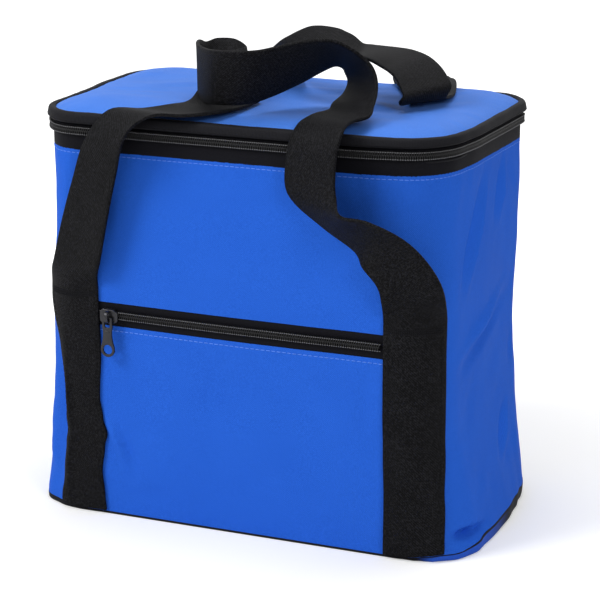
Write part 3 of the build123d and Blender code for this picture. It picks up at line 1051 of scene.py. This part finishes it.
def lidPlace(distance, share):
    edge = onShell(distance, lidTop, -lid["inset"], lifted=False)
    flat = towardSpine(edge, share)
    inwards = (Vector((edge.x, edge.y)) - flat).length / mm
    rise = crownRise(inwards) - 0.8
    x, y = flat.x / mm, flat.y / mm
    pucker = noise.noise(Vector((distance * 0.13, 0.0, 4.0)))
    broad = noise.noise(Vector((x * 0.020, y * 0.028, 11.0)))
    fine = noise.noise(Vector((x * 0.055, y * 0.075, 15.0)))
    loose = smooth(inwards, 6, 30)
    rise += lid["edgePucker"] * hump(inwards, 5, 14) * pucker
    rise += lid["broadSag"] * loose * broad
    rise += lid["fineSag"] * loose * fine
    for middleX, middleY, reach, breadth, lean, depth in lidFolds:
        turn = math.radians(lean)
        lengthways = (x - middleX) * math.cos(turn) + (y - middleY) * math.sin(turn)
        sideways = (y - middleY) * math.cos(turn) - (x - middleX) * math.sin(turn)
        rise += depth * hump(lengthways, 0, reach) * hump(sideways, 0, breadth)
    return Vector((flat.x, flat.y, (lidTop + rise) * mm))


lidFolds = (
    (30, 20, 46, 11, 10, 1.2), (62, -22, 34, 9, -28, -1.4), (56, -8, 40, 9, -24, 1.2),
    (-70, 8, 44, 12, 24, 1.0), (-88, -20, 36, 9, 14, -0.9), (-30, 44, 50, 12, -8, 1.0),
    (104, 14, 30, 10, 70, -0.9), (92, 40, 30, 9, 60, 0.9), (-112, 30, 26, 9, 60, 0.9),
)

lidPanel = fan("lidTopPanel", 3.0, lidPlace, 34, lidPaintedLightFabric, "lid", ["lid_top_panel"])
thicken(lidPanel, 1.0)


def lidUnderPlace(distance, share):
    edge = onShell(distance, lidTop, -lid["inset"], lifted=False)
    flat = towardSpine(edge, share)
    inwards = (Vector((edge.x, edge.y)) - flat).length / mm
    uneven = 1 + noise.noise(Vector((flat.x * 25, flat.y * 25, 31.0)))
    sag = lid["underSag"] * smooth(inwards, 4, 40) * uneven
    return Vector((flat.x, flat.y, (lid["under"] - sag) * mm))


lidLiner = fan(
    "lidLiner", 5.0, lidUnderPlace, 16, filmFinish, "lid", ["lid_liner"], flip=True,
)
thicken(lidLiner, 0.5)


def foamTopPlace(distance, share):
    cover = lidPlace(distance, share)
    edge = onShell(distance, lidTop, -lid["foamInset"], lifted=False)
    flat = towardSpine(edge, share)
    return Vector((flat.x, flat.y, cover.z - lid["cover"] * mm))


lidFoam = fan("lidFoam", 6.0, foamTopPlace, 14, foamFinish, "lid", ["lid_foam"])
thicken(lidFoam, lid["foam"], crisp=False)


def bindingPlace(distance, height, out):
    # The rolled binding, slightly uneven where it was turned over by hand
    uneven = lid["rollDrift"] * noise.noise(Vector((distance * 0.045, 0.0, 41.0)))
    uneven += lid["rollNub"] * noise.noise(Vector((distance * 0.16, height * 0.1, 43.0)))
    place = onShell(distance, height, out + uneven * smooth(out, 0, 2), lifted=False)
    rolled = smooth(height, lidTop - 4, lidTop)
    place.z += uneven * rolled * mm
    return place


proud = lid["proud"]
bm = flatBar(0, around, -1.0, proud, lid["bottom"], lidTop + 0.5, 3.0, lid["rollEase"], 4)
keepFlat(bm)
openEnds(bm)
for vert in bm.verts:
    # Rounder above than below, leaning in over the edge of the lid
    share = (vert.co.z - lid["bottom"]) / lid["height"]
    vert.co.y += lid["rollLean"] * share * share
wrapRound(bm, bindingPlace)
makePiece("lidBinding", bm, bindingFinish, "lid", ["lid_binding"], sharp=60)
stitches(
    "lidBindingStitch", (0, around), lidTop - lid["stitchDrop"], lid["stitch"],
    (proud - 0.35, proud + 0.05), stitchBlack, "lid", bindingPlace,
)
print("lid made")

# Webbing

webbing = {
    "width": 38.0,
    "thick": 1.8,
    "top": 145.3,
    "bottom": 2.6,
    "along": 2.0,
    "across": 10,
    "leave": 20.0,
}
# Stitches up both edges of each strap, and the bars of close ones at its top
sewing = {
    "across": 15.8,
    "length": 2.6,
    "pitch": 3.5,
    "width": 0.5,
    "bar": 139.6,
    "bars": 3,
    "barPitch": 1.3,
    "barReach": 16.0,
    "closeLength": 1.0,
    "closePitch": 1.15,
    "closeWidth": 1.1,
}
even = ((0, 1.0),)
eased = ((0, 0.85), (37, 0.90), (67, 0.97), (90, 1.0))
drawnIn = ((0, 0.62), (28, 0.44), (54, 0.46), (76, 0.30), (106, 0.60), (138, 1.0))
# Sideways wander of each sewn strap, by height
wander = {
    "frontStrapLeft": (
        (0, 6.0), (12, 5.0), (28, 3.5), (44, 5.5), (53, 7.5),
        (62, 5.0), (76, 3.0), (106, 4.5), (145, 3.5),
    ),
    "frontStrapRight": ((0, 3.0), (37, 4.0), (67, 4.5), (100, 4.5), (145, 4.5)),
    "rearStrapLeft": ((0, 1.0), (60, -1.0), (145, 0.0)),
    "rearStrapRight": ((0, -1.0), (60, 1.0), (145, 0.0)),
}
# Share of its width that each half of a strap spans where the cloth below it is drawn in
gathered = {
    "frontStrapLeft": (drawnIn, even),
    "frontStrapRight": (eased, eased),
    "rearStrapLeft": (even, even),
    "rearStrapRight": (even, even),
}
strapMiddle = {"front": 112.0, "rear": 100.0}


def edgeRidge(across):
    # The selvedge stands a little proud of the rest
    return 0.22 * hump(abs(across), 17.6, 1.8)


def sewnStrap(name, middle, node):
    half = webbing["width"] / 2
    low, high = webbing["bottom"], webbing["top"]
    bm = flatBar(
        -half, half, 0.0, webbing["thick"], low, high, webbing["along"], 0.5, 2,
        rows=webbing["across"], axis=2,
    )
    keepFlat(bm)

    def place(across, height, out):
        shift = along(wander[name], height)
        lift = edgeRidge(across) if out > 1 else 0.0
        span = along(gathered[name][0 if across < 0 else 1], height)
        distance = middle + across * span + shift
        if name == "frontStrapLeft":
            lift += 2.5 * (1 - span) * hump(across, -11, 9)
        # The strap bridges small folds of the cloth below it
        inner = softness(middle + shift, hemLift(distance, height))
        outer = softness(distance, hemLift(distance, height))
        loose = 1 + noise.noise(Vector((height * 0.05, middle, 2.0)))
        extra = 0.10 + max(0.0, inner - outer) * 0.3
        extra += 0.4 * loose * hump(across, 0, half)
        return onShell(distance, height, out + lift + extra)

    wrap(bm, place)
    piece = makePiece(name, bm, webbingFinish, "bag", [node])
    return place


strapPlaces = {}
for name, middle, node in (
    ("frontStrapLeft", -strapMiddle["front"], "front_strap_left"),
    ("frontStrapRight", strapMiddle["front"], "front_strap_right"),
    ("rearStrapLeft", around / 2 + strapMiddle["rear"], "rear_strap_left"),
    ("rearStrapRight", around / 2 - strapMiddle["rear"], "rear_strap_right"),
):
    strapPlaces[name] = sewnStrap(name, middle, node)


def strapStitches(label, place):
    bm = bmesh.new()
    half, length = sewing["width"] / 2, sewing["length"]
    for across in (-sewing["across"], sewing["across"]):
        level = webbing["bottom"] + 3
        while level + length < webbing["top"] - 2:
            addBar(bm, across - half, across + half, 1.55, 2.0, level, level + length)
            level += sewing["pitch"]
    for row in range(sewing["bars"]):
        step = -sewing["barReach"]
        level = sewing["bar"] + row * sewing["barPitch"]
        while step < sewing["barReach"]:
            end = step + sewing["closeLength"]
            addBar(bm, step, end, 1.6, 2.0, level, level + sewing["closeWidth"])
            step += sewing["closePitch"]
    easeEdges(bm, bm.edges, 0.14)
    keepFlat(bm)
    wrap(bm, place)
    makePiece(label + "Stitches", bm, stitchBlack, "bag", ["strap_bartacks"], sharp=75)


for name, place in strapPlaces.items():
    strapStitches(name, place)

# Each row is the webbing's middle and the direction of its width
handleRows = {
    "frontLeftLeg": (
        (3.5, 1.6, 0.0, 0.96, -0.27, 0.0), (11.0, 5.5, 20.0, 0.96, -0.27, 0.05),
        (18.0, 8.0, 45.0, 0.96, -0.27, 0.15), (26.0, 9.5, 72.0, 0.94, -0.28, 0.25),
    ),
    "frontOverLid": (
        (-76.0, -13.0, -17.5, 0.92, -0.36, 0.22), (-61.0, -10.0, -2.0, 0.93, -0.35, 0.05),
        (-43.0, -1.0, -1.5, 0.93, -0.36, 0.03), (-28.0, 9.0, 0.0, 0.96, -0.27, 0.0),
        (-20.0, 20.0, 1.0, 0.98, -0.15, 0.0), (-18.5, 34.0, 3.5, 0.98, 0.0, -0.12),
        (-15.5, 48.0, 12.5, 0.82, -0.15, -0.55), (-14.0, 60.0, 16.0, 0.47, -0.62, -0.62),
        (-25.0, 66.5, 18.5, 0.38, -0.65, -0.66), (-36.0, 61.0, 18.5, 0.32, -0.63, -0.71),
        (-39.0, 46.5, 16.5, 0.2, -0.5, -0.84), (-35.0, 31.0, 18.5, -0.1, 0.25, -0.96),
        (-22.0, 14.0, 19.5, -0.17, 0.34, -0.92), (-11.0, 6.0, 20.5, -0.18, 0.36, -0.91),
        (2.0, 6.0, 21.0, -0.16, 0.4, -0.9), (12.0, 11.0, 22.0, -0.2, 0.44, -0.87),
        (19.5, 18.0, 24.0, -0.23, 0.48, -0.84), (27.5, 24.0, 27.0, -0.24, 0.56, -0.8),
        (35.5, 28.0, 30.0, -0.25, 0.64, -0.73), (44.0, 32.0, 33.0, -0.28, 0.73, -0.62),
        (51.0, 37.0, 34.0, -0.34, 0.78, -0.52), (56.5, 41.5, 31.0, -0.45, 0.78, -0.44),
        (60.0, 44.5, 26.5, -0.56, 0.72, -0.4), (63.5, 45.0, 22.0, -0.65, 0.67, -0.36),
        (65.5, 43.0, 16.5, -0.73, 0.62, -0.29), (66.5, 37.0, 11.0, -0.8, 0.57, -0.2),
        (66.5, 27.0, 6.5, -0.87, 0.48, -0.12), (67.5, 18.0, 3.0, -0.87, 0.49, -0.06),
        (62.0, 10.0, 1.5, -0.87, 0.5, -0.05), (60.5, 0.0, 0.5, -0.88, 0.48, -0.05),
        (60.0, -7.5, -2.0, -0.91, 0.42, -0.03), (59.0, -13.0, -8.5, -0.93, 0.37, -0.02),
        (57.0, -14.0, -20.5, -0.94, 0.34, -0.02),
    ),
    "frontRightLeg": (
        (-54.0, 15.0, 76.0, -0.9, 0.35, -0.1), (-41.0, 17.0, 62.0, -0.55, 0.7, -0.35),
        (-22.0, 16.0, 54.0, -0.45, 0.6, -0.6), (-6.0, 14.0, 42.0, -0.85, 0.15, -0.4),
        (5.0, 8.5, 24.0, -0.97, -0.1, -0.1), (4.5, 1.6, 0.0, -0.96, -0.27, 0.0),
    ),
    "rearRightLeg": (
        (0.0, 1.6, 0.0, 0.98, -0.12, 0.0), (-8.0, 6.0, 40.0, 0.98, -0.1, 0.05),
        (-28.0, 10.0, 83.0, 0.97, -0.1, 0.2),
    ),
    "rearOverLid": (
        (57.0, -9.5, -6.0, 0.97, -0.1, 0.2), (62.0, 6.0, 1.0, 0.97, 0.15, 0.0),
        (73.0, 28.0, 2.5, 0.82, 0.55, 0.0), (84.0, 52.0, 2.5, 0.64, 0.77, 0.0),
        (93.0, 77.0, 2.0, 0.5, 0.86, 0.0), (95.0, 95.0, 4.5, 0.46, 0.89, 0.0),
        (98.0, 95.5, 10.0, 0.47, 0.88, 0.04), (94.0, 91.0, 14.5, 0.45, 0.89, 0.06),
        (88.5, 86.0, 19.0, 0.38, 0.92, 0.09), (81.0, 82.0, 23.0, 0.3, 0.95, 0.11),
        (72.0, 79.0, 25.5, 0.19, 0.98, 0.1), (64.5, 78.0, 27.0, 0.09, 0.99, 0.05),
        (57.0, 78.5, 28.0, 0.0, 1.0, 0.02), (51.0, 79.5, 28.0, -0.08, 0.99, 0.05),
        (46.0, 79.0, 26.0, -0.16, 0.96, 0.2), (42.5, 78.0, 27.5, -0.3, 0.88, 0.35),
        (39.5, 78.0, 29.0, -0.38, 0.83, 0.38), (35.5, 78.0, 31.0, -0.43, 0.82, 0.37),
        (29.0, 78.0, 32.0, -0.48, 0.8, 0.37), (24.0, 77.5, 32.0, -0.51, 0.77, 0.37),
        (19.0, 77.0, 31.0, -0.55, 0.74, 0.38), (13.0, 76.0, 28.0, -0.61, 0.69, 0.38),
        (7.5, 75.0, 24.0, -0.66, 0.62, 0.41), (2.0, 71.0, 21.0, -0.7, 0.57, 0.4),
        (-7.0, 57.0, 14.0, -0.78, 0.43, 0.42), (-20.0, 37.0, 7.0, -0.9, 0.33, 0.25),
        (-37.0, 15.0, 1.5, -0.98, 0.15, 0.05), (-50.0, -5.0, -2.5, -1.0, 0.0, 0.0),
        (-62.0, -11.0, -15.5, -0.97, -0.1, 0.2),
    ),
    "rearLeftLeg": (
        (20.0, 10.0, 70.0, -0.98, -0.1, 0.15), (6.0, 6.0, 35.0, -0.98, -0.1, 0.05),
        (0.0, 1.6, 0.0, -0.98, -0.12, 0.0),
    ),
}
# The legs are set out from the straps' middles, and the rest from the top of the lid
strapEnd = {-1: walk(shell, strapMiddle["front"])[0], 1: walk(shell, strapMiddle["rear"])[0]}
crownTop = lidTop + lid["crown"]


def legRows(name, side, face):
    rows = []
    for across, out, up, wx, wy, wz in handleRows[name]:
        end = strapEnd[face]
        reach = end.y if up == 0.0 else -shell["depth"] / 2
        middle = Vector((side * end.x + across, face * (out - reach), webbing["top"] + up))
        rows.append((middle, Vector((wx, wy, wz)).normalized()))
    return rows


def lidRows(name, face):
    rows = []
    for x, inwards, up, wx, wy, wz in handleRows[name]:
        middle = Vector((x, face * (shell["depth"] / 2 - inwards), crownTop + up))
        rows.append((middle, Vector((wx, wy, wz)).normalized()))
    return rows


def between(values, index, share):
    last = len(values) - 1
    before = values[index - 1] if index > 0 else values[0] * 2 - values[1]
    start, end = values[index], values[index + 1]
    after = values[index + 2] if index + 2 <= last else end * 2 - start
    return (
        start * 2
        + (end - before) * share
        + (before * 2 - start * 5 + end * 4 - after) * share**2
        + (start * 3 - before - end * 3 + after) * share**3
    ) * 0.5


def route(rows, steps):
    # Middles and width directions between the rows, and how far along each one lies
    middles, sides = [], []
    for index in range(len(rows) - 1):
        for step in range(steps):
            share = step / steps
            middles.append(between([row[0] for row in rows], index, share))
            sides.append(between([row[1] for row in rows], index, share).normalized())
    middles.append(rows[-1][0])
    sides.append(rows[-1][1])
    lengths = [0.0]
    for start, end in zip(middles, middles[1:]):
        lengths.append(lengths[-1] + (end - start).length)
    return middles, sides, lengths


def handle(name, rows, node, facing, ends):
    # Webbing that bends and twists through the rows, and leaves its two straps without a step
    middles, sides, lengths = route(rows, 6)
    half = webbing["width"] / 2
    thin = webbing["thick"] / 2
    leave = webbing["leave"]
    count = len(middles) - 1
    bm = flatBar(-half, half, -thin, thin, 0, count, 1.0, 0.5, 2, rows=webbing["across"], axis=2)

    def spotOf(place):
        return min(max(round(place.z), 0), count)

    keepFlat(bm, lambda place: (place.x * mm, lengths[spotOf(place)] * mm))
    normals = []
    for index, side in enumerate(sides):
        ahead = middles[min(index + 1, count)]
        behind = middles[max(index - 1, 0)]
        normals.append((ahead - behind).cross(side).normalized())
    for vert in bm.verts:
        across, out = vert.co.x, -vert.co.y
        spot = spotOf(vert.co)
        out += edgeRidge(across) * (1 if out > 0 else -1)
        vert.co = (middles[spot] + sides[spot] * across + normals[spot] * out) * mm
        level = thin + facing * min(max(out, -thin), thin)
        gone = (lengths[spot], lengths[-1] - lengths[spot])
        for strap, way, distance in zip(ends, (-facing, facing), gone):
            if distance < leave:
                sewn = strapPlaces[strap](across * way, webbing["top"] + distance, level)
                vert.co = sewn.lerp(vert.co, smooth(distance, 0, leave))
    bmesh.ops.recalc_face_normals(bm, faces=bm.faces)
    piece = makePiece(name, bm, webbingFinish, node, [node])
    # The handle is taken off its body and left in place
    piece.parent = None
    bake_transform(piece)
    print(name, "is", round(lengths[-1]), "mm long")


frontEnds = ("frontStrapLeft", "frontStrapRight")
frontRows = legRows("frontLeftLeg", -1, -1) + lidRows("frontOverLid", -1)
frontRows += legRows("frontRightLeg", 1, -1)
handle("frontHandle", frontRows, "front_handle", -1, frontEnds)
rearEnds = ("rearStrapRight", "rearStrapLeft")
rearRows = legRows("rearRightLeg", 1, 1) + lidRows("rearOverLid", 1)
rearRows += legRows("rearLeftLeg", -1, 1)
handle("rearHandle", rearRows, "rear_handle", 1, rearEnds)
print("webbing made")

# Zip sliders

sliders = {
    "length": 12.0,
    "half": 4.4,
    "plate": 1.5,
    "gap": 0.35,
    "pin": 3.4,
    "pinDrop": 1.2,
    "pullLength": 24.0,
    "tipRadius": 4.7,
    "holeRadius": 3.1,
}


def plate(loops, low, high, ease):
    # A flat plate with holes in the X-Z plane, between two depths, with eased edges
    bm = bmesh.new()
    for loop in loops:
        verts = [bm.verts.new((x, 0.0, z)) for x, z in loop]
        for first, second in zip(verts, verts[1:] + verts[:1]):
            bm.edges.new((first, second))
    bmesh.ops.triangle_fill(bm, edges=list(bm.edges), use_beauty=True, use_dissolve=False)
    for vert in bm.verts:
        vert.co.y = -low
    made = bmesh.ops.extrude_face_region(bm, geom=list(bm.faces))
    moved = [g for g in made["geom"] if isinstance(g, bmesh.types.BMVert)]
    bmesh.ops.translate(bm, vec=(0.0, -(high - low), 0.0), verts=moved)
    bmesh.ops.recalc_face_normals(bm, faces=bm.faces)
    crisp = [e for e in bm.edges if e.is_manifold and e.calc_face_angle(0.0) > 1.2]
    easeEdges(bm, crisp, ease, 2)
    return bm


def arc(z, radius, first, step, count):
    # Points of a circle round a height, from one angle in degrees by equal steps
    angles = [math.radians(first + step * k) for k in range(count)]
    return [(radius * math.cos(a), z + radius * math.sin(a)) for a in angles]


def roundedBox(x, y, z, ease, segments=3):
    bm = bmesh.new()
    addBar(bm, *x, *y, *z)
    easeEdges(bm, bm.edges, ease, segments)
    return bm


def gather(parts):
    # Several closed shapes in one mesh
    whole = bmesh.new()
    for bm in parts:
        mesh = bpy.data.meshes.new("part")
        bm.to_mesh(mesh)
        bm.free()
        whole.from_mesh(mesh)
        bpy.data.meshes.remove(mesh)
    return whole


def sliderParts(sides):
    length, half = sliders["length"], sliders["half"]
    low = sliders["gap"]
    high = low + sliders["plate"]
    # The plate narrows from its shoulders to its tail
    outline = [
        (-length / 2, -half + 1.6), (-length / 2 + 1.0, -half + 0.5), (-length / 2 + 2.6, -half),
        (length / 2 - 3.4, -half), (length / 2 - 0.8, -half + 1.2), (length / 2, -half + 2.2),
        (length / 2, half - 2.2), (length / 2 - 0.8, half - 1.2), (length / 2 - 3.4, half),
        (-length / 2 + 2.6, half), (-length / 2 + 1.0, half - 0.5), (-length / 2, half - 1.6),
    ]
    parts = [plate([outline], low, high, 0.35)]
    for side in (-1, 1):
        edge = sorted((side * (half - 0.85), side * half))
        reach = (-length / 2 + 1.4, length / 2 - 2.6)
        parts.append(roundedBox(reach, (low - sides, low + 0.4), edge, 0.3))
    # The crown that holds the pull
    arch = [
        (-3.4, -0.2), (-3.4, 2.2), (-2.4, 3.8), (-0.6, 4.3),
        (1.6, 4.2), (3.2, 3.4), (3.9, 1.8), (3.9, -0.2),
    ]
    hollow = [
        (2.6, -0.2), (2.6, 1.6), (2.0, 2.7), (0.9, 3.0),
        (-0.5, 3.0), (-1.6, 2.5), (-2.2, 1.6), (-2.2, -0.2),
    ]
    bow = plate([[(x, high + z) for x, z in arch + hollow]], -1.25, 1.25, 0.3)
    for vert in bow.verts:
        # Stood up across the chain, with the bow's depth along it
        vert.co = Vector((-vert.co.y, -vert.co.z, vert.co.x))
    bmesh.ops.recalc_face_normals(bow, faces=bow.faces)
    parts.append(bow)
    return gather(parts)


def pullParts():
    # A flat tab: a window at its head, a waist, and a round hole in its end
    pin, drop = sliders["pin"], sliders["pinDrop"]
    radius = sliders["tipRadius"]
    tip = radius - sliders["pullLength"]
    head = [(-2.6, 1.2), (2.6, 1.2)]
    edge = [
        (3.3, 0.4), (3.4, -5.4), (3.0, -7.2), (2.9, -9.4), (3.1, -12.0), (3.8, -15.4), (4.5, -17.8),
    ]
    outline = head + edge + arc(tip, radius, -9, -15, 12)
    outline += [(-x, z) for x, z in reversed(edge)]
    window = [(-1.8, -0.6), (-1.8, -4.6), (-1.2, -5.3), (1.2, -5.3), (1.8, -4.6), (1.8, -0.6)]
    hole = arc(tip, sliders["holeRadius"], 0, 18, 20)
    tab = plate([outline, window, hole], pin - 0.75, pin + 0.75, 0.28)
    mark = roundedBox((-1.5, 1.5), (pin + 0.6, pin + 1.15), (-8.4, -7.3), 0.25)
    whole = gather([tab, mark])
    bmesh.ops.translate(whole, vec=(0.0, 0.0, -drop), verts=whole.verts)
    return whole


def placeParts(bm, middle, turn):
    matrix = Matrix.Translation(Vector(middle)) @ Matrix.Rotation(math.radians(turn), 4, "Z")
    bmesh.ops.transform(bm, matrix=Matrix.Diagonal((mm, mm, mm, 1.0)) @ matrix, verts=bm.verts)
    keepFlat(bm)
    return bm


# Where each slider sits, how far it is turned and how far its sides reach down the coils
pocketFace = -shell["depth"] / 2 - zips["pocketProud"]
lidFace = -shell["width"] / 2 - zips["lidProud"]
sliderSpots = {
    "pocket": ((-81.0, pocketFace - 0.2, pocketZip + 0.6), 0.0, 2.2),
    "lid": ((lidFace - 0.3, 44.0, lidZip), -90.0, 2.4),
}
for label, (spot, turn, sides) in sliderSpots.items():
    for kind, bm in (("slider", sliderParts(sides)), ("pull", pullParts())):
        body = f"{label}_{kind}"
        bm = placeParts(bm, spot, turn)
        makePiece(label + kind.title(), bm, metalFinish, body, [body], sharp=50)
print("sliders made")

# Floor, world and lights

studio = {
    "world": 0.42,
    "floor": (0.88, 0.88, 0.88),
    # The floor's own light, as the camera sees it, near the bag and further out
    "glow": (0.22, 0.64),
    "glowFrom": 0.14,
    "glowTo": 0.55,
    # Place, target, size and power
    "lamps": {
        "key": ((-1.35, -1.35, 1.65), (0, 0, 0.12), 1.1, 37.0),
        "fill": ((1.55, -1.2, 1.3), (0, 0, 0.12), 0.7, 11.5),
        "above": ((0.1, 0.3, 2.2), (0, 0, 0.2), 1.3, 19.0),
    },
}


def addFloor():
    bm = bmesh.new()
    bmesh.ops.create_grid(bm, x_segments=1, y_segments=1, size=6.0)
    mesh = bpy.data.meshes.new("floor")
    bm.to_mesh(mesh)
    bm.free()
    floor = bpy.data.objects.new("floor", mesh)
    scene.collection.objects.link(floor)
    paint = newPaint("floor")
    camera = paint.node("LightPath", {}, {}, "Is Camera Ray")
    matt = paint.node("BsdfDiffuse", {}, {"Color": (*studio["floor"], 1.0)})
    away = paint.node("VectorMath", {"operation": "LENGTH"}, {0: paint.place()}, 1)
    level = paint.fade(away, studio["glowFrom"], studio["glowTo"], *studio["glow"])
    glow = paint.node("Emission", {}, {"Color": (1, 1, 1, 1), "Strength": camera * level})
    both = paint.node("AddShader", {}, {0: matt, 1: glow})
    mesh.materials.append(paint.finish(both))


def addWorld():
    # White to the camera and in reflections, and dimmer as a light
    paint = Paint(bpy.data.worlds.new("studio"))
    camera = paint.node("LightPath", {}, {}, "Is Camera Ray")
    glossy = paint.node("LightPath", {}, {}, "Is Glossy Ray")
    level = camera.orElse(glossy) * (1.0 - studio["world"]) + studio["world"]
    back = paint.node("Background", {}, {"Strength": level})
    scene.world = paint.finish(back, "World")


def addLight(name, place, target, size, power):
    data = bpy.data.lights.new(name, "AREA")
    data.shape = "DISK"
    data.size = size
    data.energy = power
    light = bpy.data.objects.new(name, data)
    light.location = Vector(place)
    aim = Vector(target) - Vector(place)
    light.rotation_euler = aim.to_track_quat("-Z", "Y").to_euler()
    scene.collection.objects.link(light)


addFloor()
addWorld()
for name, lamp in studio["lamps"].items():
    addLight(name, *lamp)
scene.view_settings.view_transform = "Standard"
print("studio made")
